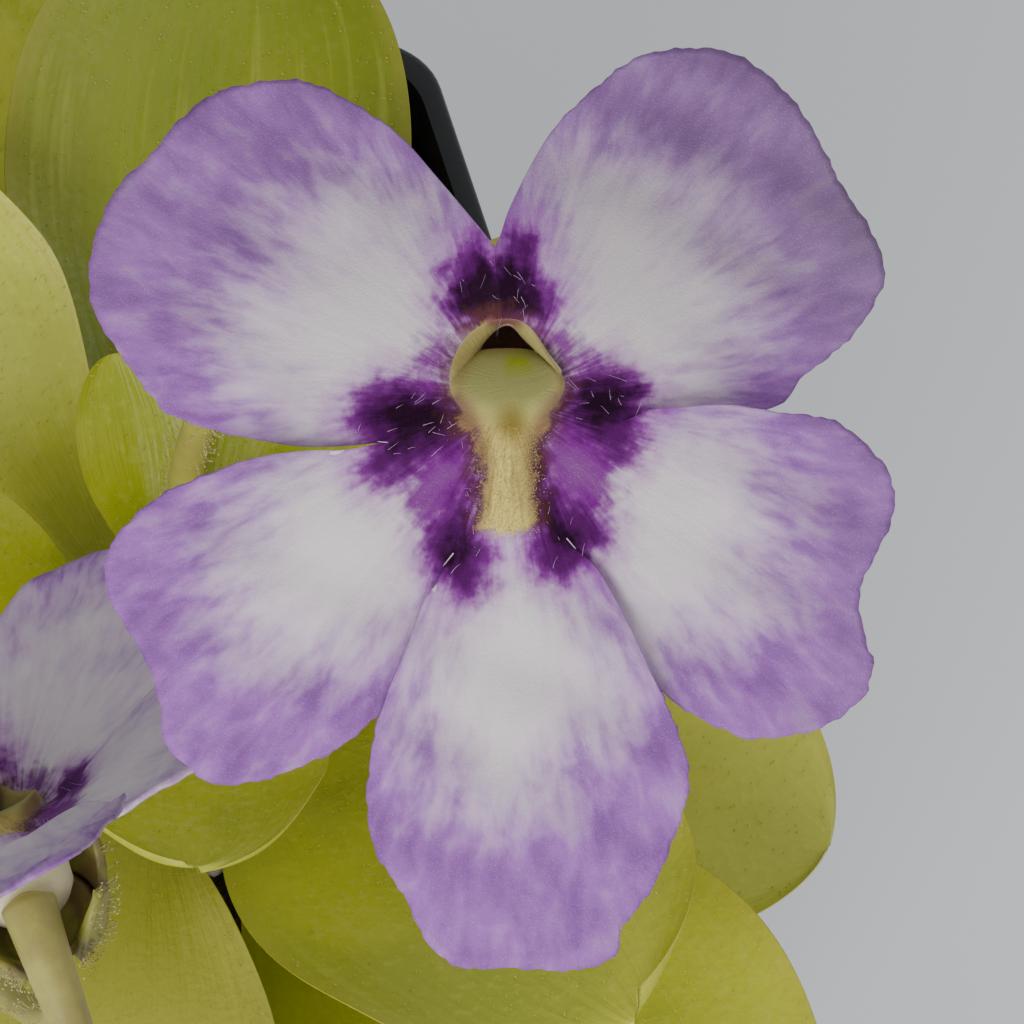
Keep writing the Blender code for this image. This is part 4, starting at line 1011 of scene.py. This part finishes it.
class BUTTERWORT_OT_throat_hairs(bpy.types.Operator):
    """Set the pale hairs on the purple blotches and the short ones along the palate"""

    bl_idname = "butterwort.throat_hairs"
    bl_label = "Throat hairs"

    def execute(self, context):
        look = context.scene.butterwort_corolla
        long_hair = hair_material("Hair, clear", "#d3bbd0", "#b08cb2")
        short_hair = hair_material("Hair, palate", "#d2c38c", "#b0a068")
        for number, share in ((1, 1.0), (2, 0.3)):
            points, quads, _, info, lobes = corolla_sheet(*HAIR_GRID, FOLD[number])
            quads = quads[np.all(quads < lobes, axis=1)]
            matrix = flower_matrix(number)
            weights = smooth(-0.15, 0.25, info["dark"]) + 0.18 * smooth(0.0, 0.4, info["purple"])
            count = int(look.hairs * share)
            roots, normals, rng = scatter(points, quads, weights, count, SEEDS["blotches"] + number)
            inward = unit(np.column_stack((-roots[:, 0], 0.8 - roots[:, 1], np.zeros(count))))
            ways = normals * 0.75 + inward * 0.7 + rng.normal(0, 0.3, (count, 3))
            lengths = rng.uniform(0.3, 0.8, count)
            bends = rng.normal(0, 0.14, (count, 3))
            body = hair_mesh(roots, ways, lengths, np.full(count, FINE_HAIR), bends)
            hairs = make_piece(f"flower_{number}_blotch_hairs", *body, long_hair, "petal", matrix=matrix)
            strip = smooth(-0.1, 0.15, info["yellow"]) * smooth(-0.9, -1.8, points[:, 1])
            fringe = np.exp(-((info["yellow"] + 0.15) / 0.2) ** 2) * smooth(-0.6, -1.5, points[:, 1])
            strip = strip + 0.12 * fringe
            count = int(PALATE_HAIRS * share)
            roots, normals, rng = scatter(points, quads, strip, count, SEEDS["palate"] + number)
            ways = normals + rng.normal(0, 0.35, (count, 3)) + np.array((0.0, 0.25, 0.0))
            lengths = rng.uniform(0.05, 0.12, count)
            bends = rng.normal(0, 0.2, (count, 3))
            body = hair_mesh(roots, ways, lengths, np.full(count, FINE_HAIR), bends, rings=2, taper=0.6)
            fuzz = make_piece(f"flower_{number}_palate_hairs", *body, short_hair, "petal", matrix=matrix)
            # Thick pale hairs lie along the pleats where the lowest lobe meets its neighbours
            pleats = np.array(((-1.90, -5.46, 0.03), (2.10, -4.93, 0.03), (-4.20, -1.55, -0.05)))
            ways = np.array(((-0.40, -0.50, 0.12), (0.36, -0.43, 0.12), (-0.6, 0.05, 0.1)))
            body = hair_mesh(
                folded(pleats, FOLD[number]), ways, np.array((0.60, 0.54, 0.4)), np.array((0.028, 0.026, 0.02)),
                np.zeros((3, 3)), sides=8, rings=6, taper=0.5,
            )
            folds = make_piece(f"flower_{number}_pleat_hairs", *body, long_hair, "petal", matrix=matrix)
            for piece in (hairs, fuzz, folds):
                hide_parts(f"flower_{number}_corolla")
        return {"FINISHED"}


def calyx_place(along, radius, degrees):
    """Points of the calyx, from how far they lie along and off its axis, and their angle round it."""
    side = np.array((1.0, 0.0, 0.0))
    up = np.cross(-CALYX_AXIS, side)
    angle = np.radians(degrees)
    spoke = np.cos(angle)[..., None] * side + np.sin(angle)[..., None] * up
    return CALYX_BASE + np.asarray(along)[..., None] * CALYX_AXIS + spoke * np.asarray(radius)[..., None]


class BUTTERWORT_OT_calyces(bpy.types.Operator):
    """Make both calyces: a cup with five pointed, finely hairy sepals"""

    bl_idname = "butterwort.calyces"
    bl_label = "Calyces"

    def execute(self, context):
        skin = tissue_material("Sepal, fleshy", "#8a8a3a", "#6f5c38", 500.0, 0.5, 0.0001)
        hair = hair_material("Hair, gland", "#b9b276", "#a08f5c")
        cup = np.array(CALYX_CUP)
        for number in (1, 2):
            matrix = flower_matrix(number)
            rows, around = CALYX_SHAPE
            degrees = np.linspace(0.0, 360.0, around + 1)[:-1]
            steps = np.linspace(0.0, 2.0, rows)
            profile = np.column_stack([np.interp(steps, range(3), cup[:, k]) for k in range(2)])
            points = [calyx_place(np.full(around, a), np.full(around, r), degrees) for a, r in profile]
            faces = [grid_faces(rows, around, around=True)[:, ::-1]]
            total = rows * around
            rows, columns = SEPAL_SHAPE
            share = np.linspace(0.0, 1.0, rows)
            width = np.interp(share, (0.0, 0.45, 0.8, 1.0), (1.0, 0.78, 0.42, 0.02))
            side = np.linspace(1.0, -1.0, columns)
            for middle in SEPAL_ANGLES:
                along = cup[2, 0] - SEPAL_LENGTH * share
                radius = cup[2, 1] + SEPAL_FLARE * share
                along, radius = (np.repeat(v[:, None], columns, axis=1) for v in (along, radius))
                degrees = middle + SEPAL_HALF_ANGLE * side[None] * width[:, None]
                radius = radius - 0.12 * share[:, None] * np.cos(side * math.pi / 2)[None]
                points.append(calyx_place(along, radius, degrees).reshape(-1, 3))
                faces.append(grid_faces(rows, columns, total)[:, ::-1])
                total += rows * columns
            points, quads = np.vstack(points), np.vstack(faces)
            piece = make_piece(f"flower_{number}_sepals", points, quads, skin, "calyx", matrix=matrix)
            thicken(piece, SEPAL_THICKNESS * MM, 1.0).use_even_offset = True
            centre = CALYX_BASE + CALYX_AXIS * -0.8
            roots, _, rng = scatter(points, quads, np.ones(len(points)), CALYX_HAIRS, SEEDS["calyx"] + number)
            outward = unit(roots - centre)
            roots = roots + outward * 0.38
            ways = outward + rng.normal(0, 0.25, roots.shape)
            lengths = rng.uniform(0.3, 0.6, len(roots))
            radii, bends = np.full(len(roots), 0.025), rng.normal(0, 0.1, roots.shape)
            body = hair_mesh(roots, ways, lengths, radii, bends, rings=2, taper=0.7)
            tips = roots + unit(ways) * lengths[:, None]
            beads = np.full(len(tips), BEAD_RADIUS)
            hairs = beaded_hairs(f"flower_{number}_sepal_hairs", body, tips, beads, hair, "calyx", matrix)
            for part in (piece, hairs):
                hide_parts(f"flower_{number}_calyx")
        return {"FINISHED"}


def stalk_path(number):
    """Points of a flower stalk in the plant's millimetres, from the crown to the back of the calyx."""
    turn = np.array(Matrix.Rotation(VIEW_TURN, 3, "Z"))
    facts = STALKS[number]
    matrix = np.array(flower_matrix(number))
    start = CROWN + np.array((0.0, 0.0, CROWN_TOP + 0.65)) + np.array(facts["start"])
    back = CALYX_BASE + CALYX_AXIS * (CALYX_CUP[0][0] + 0.4)
    end = matrix[:3, :3] @ back + matrix[:3, 3] / MM
    axis = matrix[:3, :3] @ CALYX_AXIS
    rise = start + turn @ np.array(facts["rise"])
    leave = end + unit(axis) * facts["leave"]
    t = np.linspace(0.0, 1.0, 121)[:, None]
    path = start * (1 - t) ** 3 + rise * 3 * t * (1 - t) ** 2 + leave * 3 * t * t * (1 - t) + end * t**3
    return resampled(path[::4], 120)


class BUTTERWORT_OT_stalks(bpy.types.Operator):
    """Make the flower stalks with their gland-tipped hairs"""

    bl_idname = "butterwort.stalks"
    bl_label = "Stalks"

    def execute(self, context):
        skin = tissue_material("Stalk, fleshy", "#a39e48", "#948a44", 250.0, 0.45, 0.0001)
        hair = bpy.data.materials["Hair, gland"]
        for number in (1, 2):
            path = stalk_path(number)
            radii = np.interp(np.linspace(0, 2, len(path)), (0, 1, 2), STALK_RADII)
            radii[-len(STALK_COLLAR):] *= STALK_COLLAR
            points, faces = tube(path, radii, 20)
            stalk = make_piece(f"flower_{number}_stem", points, faces, skin, "stalk")
            way = np.gradient(path, axis=0)
            rng = np.random.default_rng(SEEDS["stalk"] + number)
            count = STALK_HAIRS[number]
            spot = rng.integers(2, len(path) - 3, count)
            spoke = rng.normal(0, 1, (count, 3))
            direction = unit(way[spot])
            spoke = unit(spoke - direction * np.sum(spoke * direction, axis=1)[:, None])
            roots = path[spot] + way[spot] * rng.random((count, 1)) + spoke * (radii[spot] * 0.95)[:, None]
            lengths = rng.uniform(0.25, 0.55, count)
            bends = rng.normal(0, 0.08, (count, 3))
            body = hair_mesh(roots, spoke, lengths, np.full(count, 0.022), bends, rings=2, taper=0.7)
            tips = roots + spoke * lengths[:, None]
            beads = np.full(count, BEAD_RADIUS)
            hairs = beaded_hairs(f"flower_{number}_stem_hairs", body, tips, beads, hair, "stalk")
            for part in (stalk, hairs):
                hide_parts(f"flower_{number}_stalk")
        return {"FINISHED"}


class BUTTERWORT_OT_flower_hearts(bpy.types.Operator):
    """Finish the pistils and stamens inside the tubes"""

    bl_idname = "butterwort.flower_hearts"
    bl_label = "Pistils and stamens"

    def execute(self, context):
        pistil = tissue_material("Pistil, fleshy", "#b9b878", "#9aa053", 900.0, 0.45, 0.00005)
        stamen = tissue_material("Stamen, waxy", "#e9e2c4", "#d8c98e", 900.0, 0.5, 0.00005)
        for number in (1, 2):
            assign(f"flower_{number}_pistil", pistil)
            for side in ("left", "right"):
                assign(f"flower_{number}_stamen_{side}", stamen)
        return {"FINISHED"}


def assign(node, material):
    """Give a node of the solid model its finished material."""
    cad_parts[node].material_slots[0].material = material


# The angle from each leaf to the next, and the tones of those that aren't like the rest: partly their own tone
# and partly painted light and shade
LEAF_TURN = 137.508
LEAF_TONES_AND_PAINTED_LIGHT = {0: 0.25, 1: 0.42, 2: 0.0, 5: 0.37, 6: 0.85, 7: 0.25, 9: 0.30}
GLAND_GRID = (60, 40)

# One more leaf, flatter than the others, lies out between two of the lowest
OUTER_LEAF = {
    "angle": math.radians(291.5), "length": 45.5, "rise": math.radians(19.5), "droop": math.radians(-19.5),
    "height": SOIL_LEVEL + 4.0, "widest": 45.5 * 0.285, "narrowest": 1.7, "thickness": 0.9, "cupping": 0.12,
}


def leaf_facts(index):
    """Direction, length, rise and base of a leaf, from the oldest, 0, inwards; the last is the outer one."""
    if index == LEAF_COUNT:
        return OUTER_LEAF
    age = index / (LEAF_COUNT - 1)
    angle = math.radians(326.0 + LEAF_TURN * index)
    short = max(0.0, math.cos(angle - math.radians(350.0))) ** 1.5
    length = (47.0 - 34.0 * age**1.8) * (1 - 0.36 * short * (1 - age))
    height = SOIL_LEVEL + 2.6 + 8.0 * age
    return {
        "angle": angle, "length": length, "rise": math.radians(15.0 + 50.0 * age),
        "droop": math.radians(-14.0 - 12.0 * age), "height": height,
        "widest": length * (0.31 - 0.08 * age), "narrowest": 2.0 - age, "thickness": 0.9 - 0.25 * age,
        "cupping": 0.20,
    }


def leaf_surface(share, across, facts, down=0.0):
    """Points of a blade's upper face, or below it by a given depth, in the plant's millimetres."""
    angle, length, rise, droop = (facts[k] for k in ("angle", "length", "rise", "droop"))
    level = min(max((facts["height"] - 0.4 - SOIL_LEVEL) / (CROWN_TOP - SOIL_LEVEL), 0.0), 1.0)
    start = CROWN_RADIUS * (1.0 - 0.62 * level**1.3) + 0.5
    slope = rise + droop * share
    radius = start + length * (np.sin(slope) - math.sin(rise)) / droop
    z = facts["height"] - length * (np.cos(slope) - math.cos(rise)) / droop
    half = facts["narrowest"] + (facts["widest"] - facts["narrowest"]) * smooth(0.0, 0.6, share)
    fall = np.clip((share - 0.6) / 0.4, 0.0, 1.0)
    half = np.where(share < 0.6, half, facts["widest"] * np.sqrt(np.maximum(0.0, 1 - fall**2.2)))
    lift = facts["cupping"] * half * np.abs(across) ** 3 - 0.45 * np.exp(-((across / 0.25) ** 2)) * (1 - share)
    lift = lift + 0.175 * facts["cupping"] * length * np.sin(5.0 * share + angle * 3) * across * share
    edge = smooth(0.55, 1.0, np.abs(across))
    lift = lift + 0.012 * length * np.sin(share * 19.0 + angle * 5 + np.sign(across)) * edge * share
    lift = lift * smooth(0.0, 0.3, share) - down
    out = np.array((math.cos(angle), math.sin(angle), 0.0))
    side = np.array((-math.sin(angle), math.cos(angle), 0.0))
    up = np.stack((-out[0] * np.sin(slope), -out[1] * np.sin(slope), np.cos(slope)), axis=-1)
    place = out * radius[..., None] + side * (across * half)[..., None] + up * lift[..., None]
    return place + np.stack((0 * z, 0 * z, z), axis=-1) + CROWN * np.array((1.0, 1.0, 0.0))


def leaf_mesh(facts, rows=64, columns=33):
    """A closed blade with a thin round margin, and the shares along and across it."""
    share = np.sin(math.pi / 2 * np.linspace(0.0, 1.0, rows) ** 0.9)
    share[-1] = 0.9995
    across = np.sin(np.linspace(-1.0, 1.0, columns) * math.pi / 2)
    s, a = np.meshgrid(share, across, indexing="ij")
    body = facts["thickness"] * np.sqrt(np.maximum(0.0, 1 - np.abs(a) ** 5))
    body = body * np.sqrt(np.maximum(0.0, 1 - s**14))
    top = leaf_surface(s, a, facts)
    bottom = leaf_surface(s, a, facts, body)[:, -2:0:-1]
    points = np.concatenate((top, bottom), axis=1)
    along = np.concatenate((s, s[:, -2:0:-1]), axis=1)
    side = np.concatenate((a, a[:, -2:0:-1]), axis=1)
    ends, faces = closed_rings(points)
    info = {
        "along": np.concatenate((along.reshape(-1), (0.0, 1.0))),
        "across": np.concatenate((side.reshape(-1), (0.0, 0.0))),
    }
    return ends, [f[:, ::-1] for f in faces], info


class BUTTERWORT_OT_leaves(bpy.types.Operator):
    """Make the rosette's blades and the droplets on their glands"""

    bl_idname = "butterwort.leaves"
    bl_label = "Leaves"

    def execute(self, context):
        look = context.scene.butterwort_leaf
        colours = {"yellow": tuple(look.yellow), "green": tuple(look.green)}
        colours |= linear_all({
            "shade": "#7c8410", "vein": "#c2c254", "margin": "#b5a64c", "pimple": "#c4c454", "dark": "#66740c",
            "pale": "#dad86a",
        })
        skin = leaf_material(colours)
        dew = hair_material("Mucilage, clear", "#bcbc58", "#a5a540", 0.12)
        for index in range(LEAF_COUNT + 1):
            facts = leaf_facts(index)
            points, faces, info = leaf_mesh(facts)
            # Blades differ a little in tone, and the listed ones are painted paler, as painted light where
            # little light reaches them, or darker, as painted shade
            info["tone"] = np.full(len(points), LEAF_TONES_AND_PAINTED_LIGHT.get(index, 0.4 + 0.05 * (index % 5)))
            name = f"leaf_{index + 1:02d}"
            blade = make_piece(f"{name}_blade", points, faces, skin, "leaf", info)
            share = np.linspace(0.06, 0.99, GLAND_GRID[0])
            across = np.linspace(-0.98, 0.98, GLAND_GRID[1])
            s, a = np.meshgrid(share, across, indexing="ij")
            top = leaf_surface(s, a, facts).reshape(-1, 3)
            quads = grid_faces(*GLAND_GRID)
            corner = top[quads]
            sides = (corner[:, k] - corner[:, 0] for k in (1, 3))
            square_mm = np.linalg.norm(np.cross(*sides), axis=1).sum()
            count = int(square_mm / 100.0 * look.droplets)
            roots, normals, rng = scatter(top, quads, np.ones(len(top)), count, SEEDS["leaf"] + index)
            normals *= np.where(normals[:, 2:3] < 0, -1.0, 1.0)
            lengths = rng.uniform(0.10, 0.26, count)
            bends = rng.normal(0, 0.05, (count, 3))
            body = hair_mesh(roots, normals, lengths, np.full(count, 0.016), bends, rings=1, taper=1.0)
            tips = roots + normals * lengths[:, None]
            drops = beaded_hairs(f"{name}_droplets", body, tips, rng.uniform(0.03, 0.055, count), dew, "leaf")
            for part in (blade, drops):
                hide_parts(name)
        return {"FINISHED"}


class BUTTERWORT_OT_crown(bpy.types.Operator):
    """Finish the short stem in the middle of the rosette"""

    bl_idname = "butterwort.crown"
    bl_label = "Crown"

    def execute(self, context):
        assign("crown", tissue_material("Stem, fleshy", "#a3a24e", "#80703a", 500.0, 0.5, 0.0002))
        return {"FINISHED"}


def square_ring(half, steps=12):
    """A square with quarter-round corners, counter-clockwise from above."""
    radius = half * 0.15
    corners = []
    for corner in range(4):
        middle = math.radians(45 + 90 * corner)
        cx = math.copysign(half - radius, math.cos(middle))
        cy = math.copysign(half - radius, math.sin(middle))
        turn = np.radians(90 * corner + np.linspace(0, 90, steps + 1))
        corners.append(np.column_stack((cx + radius * np.cos(turn), cy + radius * np.sin(turn))))
    return np.vstack(corners)


def even_square(half, count=168):
    """The same square with its points evenly spaced."""
    ring = square_ring(half)
    return evenly(np.vstack((ring, ring[:1])), count + 1)[:-1]


def level_ring(flat, height):
    """A flat ring's points at one height."""
    return np.column_stack((flat, np.full(len(flat), height)))


def soil_rings():
    """Rounded squares that wrap the soil, from the pot's floor up and in to the middle."""
    sides = ((21.5, 2.6), (28.2, 52.2), (30.2, 54.2))
    rings = [level_ring(even_square(half), z) for half, z in sides]
    for share in np.linspace(1.0, 0.02, 70):
        flat = even_square(sides[-1][0] * share)
        rings.append(np.column_stack((flat, soil_height(flat))))
    return rings


def soil_height(flat):
    """Uneven soil, a little higher round the crown, with crumbs."""
    near = np.exp(-((flat[:, 0] - CROWN[0]) ** 2 + (flat[:, 1] - CROWN[1]) ** 2) / 120.0)
    broad = np.array([noise.noise(Vector((x * 0.21, y * 0.21, 3.7))) for x, y in flat])
    crumbs = np.array([noise.fractal(Vector((x * 0.9, y * 0.9, 8.1)), 0.8, 2.2, 4) for x, y in flat])
    return SOIL_LEVEL + 0.7 * broad + 0.5 * near + 0.45 * crumbs


# Loose grains: name, material, its lighter and darker tone, how many, and the least and greatest width
GRAINS = (
    ("bark", "Bark, crushed", "#5a3d25", "#2f2014", 1500, 0.45, 1.1),
    ("grit", "Granite grit, crushed", "#8a857c", "#5f5a52", 420, 0.35, 0.8),
    ("perlite", "Perlite, expanded", "#d9d6cd", "#b8b3a6", 130, 0.5, 1.2),
)
# They lie in this half width of the pot, and clear of the crown by this much
GRAIN_REACH = 28.6
GRAIN_CLEARANCE = 5.0


class BUTTERWORT_OT_soil(bpy.types.Operator):
    """Make the soil's crumbly top with loose grains of bark, grit and perlite"""

    bl_idname = "butterwort.soil"
    bl_label = "Soil"

    def execute(self, context):
        peat = soil_material(linear_all({"peat": "#2b1f14", "bark": "#4c3521", "dust": "#6d5a41"}))
        points, faces = closed_rings(soil_rings())
        body = make_piece("soil_body", points, faces, peat, "soil")
        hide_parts("soil")
        for number, (word, title, high, low, amount, small, large) in enumerate(GRAINS):
            rng = np.random.default_rng(SEEDS["soil"] + number)
            flat = rng.uniform(-GRAIN_REACH, GRAIN_REACH, (amount, 2))
            flat = flat[np.hypot(*(flat - CROWN[:2]).T) > GRAIN_CLEARANCE]
            size = rng.uniform(small, large, len(flat)) * 0.5
            z = soil_height(flat) + size * 0.15
            squash = rng.uniform(0.6, 1.25, (len(flat), 3)) * np.array((1.0, 1.0, 0.7))
            is_round = word == "perlite"
            points, faces = bead_mesh(np.column_stack((flat, z)), size, 2 if is_round else 1, squash)
            points = points + rng.normal(0, 0.035, points.shape)
            material = tissue_material(title, low, high, 900.0, 0.9, 0.0003)
            grains = make_piece(f"soil_{word}", points, faces, material, "soil", smooth_shade=is_round)
            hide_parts("soil")
        return {"FINISHED"}


# Half width and height along the pot's section, from its underside over the rim to its inner floor
POT_SECTION = (
    (22.4, 0.0), (22.7, 0.06), (22.9, 0.25), (23.0, 0.6), (29.9, 51.6), (30.05, 51.95), (30.4, 52.2),
    (31.3, 52.5), (31.8, 52.75), (32.0, 53.1), (32.0, 59.4), (31.94, 59.7), (31.8, 59.9), (31.55, 60.0),
    (30.95, 60.0), (30.7, 59.9), (30.6, 59.6), (30.6, 53.6), (30.4, 53.2), (28.8, 52.3), (28.55, 51.7),
    (22.2, 4.6), (21.7, 2.7), (21.2, 2.2),
)
DRAINS = ((-13.0, -13.0), (-13.0, 13.0), (13.0, -13.0), (13.0, 13.0))
DRAIN_RADIUS = 3.0
DRAIN_CUT = 6.0


class BUTTERWORT_OT_pot(bpy.types.Operator):
    """Make the formed pot with its rim band and four drain holes"""

    bl_idname = "butterwort.pot"
    bl_label = "Pot"

    def execute(self, context):
        plastic = pot_material(linear_all({"black": "#161718", "scuff": "#4a4a48"}))
        rings = [level_ring(square_ring(half), z) for half, z in POT_SECTION]
        points, faces = closed_rings(rings)
        pot = make_piece("pot_body", points, faces, plastic, "pot")
        cutter = bmesh.new()
        for x, y in DRAINS:
            bmesh.ops.create_cone(
                cutter, cap_ends=True, segments=40, radius1=DRAIN_RADIUS * MM, radius2=DRAIN_RADIUS * MM,
                depth=DRAIN_CUT * MM, matrix=Matrix.Translation((x * MM, y * MM, MM)),
            )
        drains = plain_object("drains", cutter)
        holes = pot.modifiers.new("drains", "BOOLEAN")
        holes.operation = "DIFFERENCE"
        holes.object = drains
        context.view_layer.update()
        cut = bpy.data.meshes.new_from_object(pot.evaluated_get(context.evaluated_depsgraph_get()))
        pot.modifiers.clear()
        pot.data = cut
        cut.shade_smooth()
        cut.set_sharp_from_angle(angle=math.radians(35))
        bpy.data.objects.remove(drains)
        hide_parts("pot")
        return {"FINISHED"}


class BUTTERWORT_OT_stage(bpy.types.Operator):
    """Set the pale floor, the soft lights and the camera"""

    bl_idname = "butterwort.stage"
    bl_label = "Stage"

    def execute(self, context):
        look = context.scene.butterwort_stage
        scene = context.scene
        # Floor, painted: plain, pale and matt, with clouds of 170 mm that hardly show
        material, node = start_material("Floor, painted")
        cloud = node("TexNoise", {"Vector": node("TexCoord", out="Object"), "Scale": 6.0, "Detail": 3.0})
        share = node("MapRange", {0: cloud, 1: 0.3, 2: 0.7, 4: 0.05})
        base = node("Mix", {0: share, 6: tuple(look.floor), 7: linear("#bcbdc0")}, **TINTED)
        node("OutputMaterial", {"Surface": node("BsdfPrincipled", {"Base Color": base, "Roughness": 0.8})})
        shape = bmesh.new()
        bmesh.ops.create_grid(shape, x_segments=1, y_segments=1, size=1.5)
        floor = plain_object("floor", shape)
        floor.data.materials.append(material)
        floor.location = (0.0, 0.0, -0.0003)

        right, up, back = view_axes()
        flower = flower_place(1)
        middle = flower + right * ((IMAGE_SIZE / 2 - FLOWER_PIXEL[0]) / PIXELS_PER_MM)
        middle -= up * ((IMAGE_SIZE / 2 - FLOWER_PIXEL[1]) / PIXELS_PER_MM)
        lens = bpy.data.cameras.new("camera")
        lens.sensor_width = SENSOR_WIDTH
        lens.lens = SENSOR_WIDTH * VIEW_DISTANCE / (IMAGE_SIZE / PIXELS_PER_MM)
        lens.clip_start = 0.01
        camera = bpy.data.objects.new("camera", lens)
        camera.matrix_world = Matrix.Translation((middle + back * VIEW_DISTANCE) * MM) @ Matrix(
            (right, up, back)
        ).transposed().to_4x4()
        scene.collection.objects.link(camera)
        scene.camera = camera

        world = bpy.data.worlds.new("studio")
        world.use_nodes = True
        sky = world.node_tree.nodes["Background"]
        sky.inputs[0].default_value = linear("#eef0f4")
        sky.inputs[1].default_value = 0.5
        scene.world = world
        for name, side, lift, front, size, power in (
            ("main", -0.34, -0.66, 0.74, 0.70, look.light),
            ("fill", 0.60, 0.50, 0.60, 0.90, look.light * 0.25),
        ):
            lamp = bpy.data.lights.new(name, "AREA")
            lamp.shape = "SQUARE"
            lamp.size = size
            lamp.energy = power
            light = bpy.data.objects.new(name, lamp)
            place = flower * MM + right * side + up * lift + back * front
            light.location = place
            light.rotation_euler = (flower * MM - place).to_track_quat("-Z", "Y").to_euler()
            scene.collection.objects.link(light)
        return {"FINISHED"}


class BUTTERWORT_PT_panel(bpy.types.Panel):
    bl_idname = "BUTTERWORT_PT_panel"
    bl_label = "Butterwort"
    bl_space_type = "VIEW_3D"
    bl_region_type = "UI"
    bl_category = "Butterwort"

    def draw(self, context):
        for settings in SETTINGS:
            group = getattr(context.scene, settings)
            for name in group.__annotations__:
                self.layout.prop(group, name)
        for operator in OPERATORS:
            self.layout.operator(operator.bl_idname)


OPERATORS = (
    BUTTERWORT_OT_corollas,
    BUTTERWORT_OT_throat_hairs,
    BUTTERWORT_OT_calyces,
    BUTTERWORT_OT_stalks,
    BUTTERWORT_OT_flower_hearts,
    BUTTERWORT_OT_leaves,
    BUTTERWORT_OT_crown,
    BUTTERWORT_OT_soil,
    BUTTERWORT_OT_pot,
    BUTTERWORT_OT_stage,
)
SETTINGS = {
    "butterwort_corolla": CorollaSettings, "butterwort_leaf": LeafSettings, "butterwort_stage": StageSettings,
}
CLASSES = (*SETTINGS.values(), *OPERATORS, BUTTERWORT_PT_panel)


def register():
    for item in CLASSES:
        bpy.utils.register_class(item)
    for name, group in SETTINGS.items():
        setattr(bpy.types.Scene, name, PointerProperty(type=group))


def unregister():
    for name in SETTINGS:
        delattr(bpy.types.Scene, name)
    for item in reversed(CLASSES):
        bpy.utils.unregister_class(item)


def main():
    register()
    bpy.ops.butterwort.corollas()
    bpy.ops.butterwort.throat_hairs()
    bpy.ops.butterwort.calyces()
    bpy.ops.butterwort.stalks()
    bpy.ops.butterwort.flower_hearts()
    bpy.ops.butterwort.leaves()
    bpy.ops.butterwort.crown()
    bpy.ops.butterwort.soil()
    bpy.ops.butterwort.pot()
    bpy.ops.butterwort.stage()


if __name__ == "__main__":
    main()
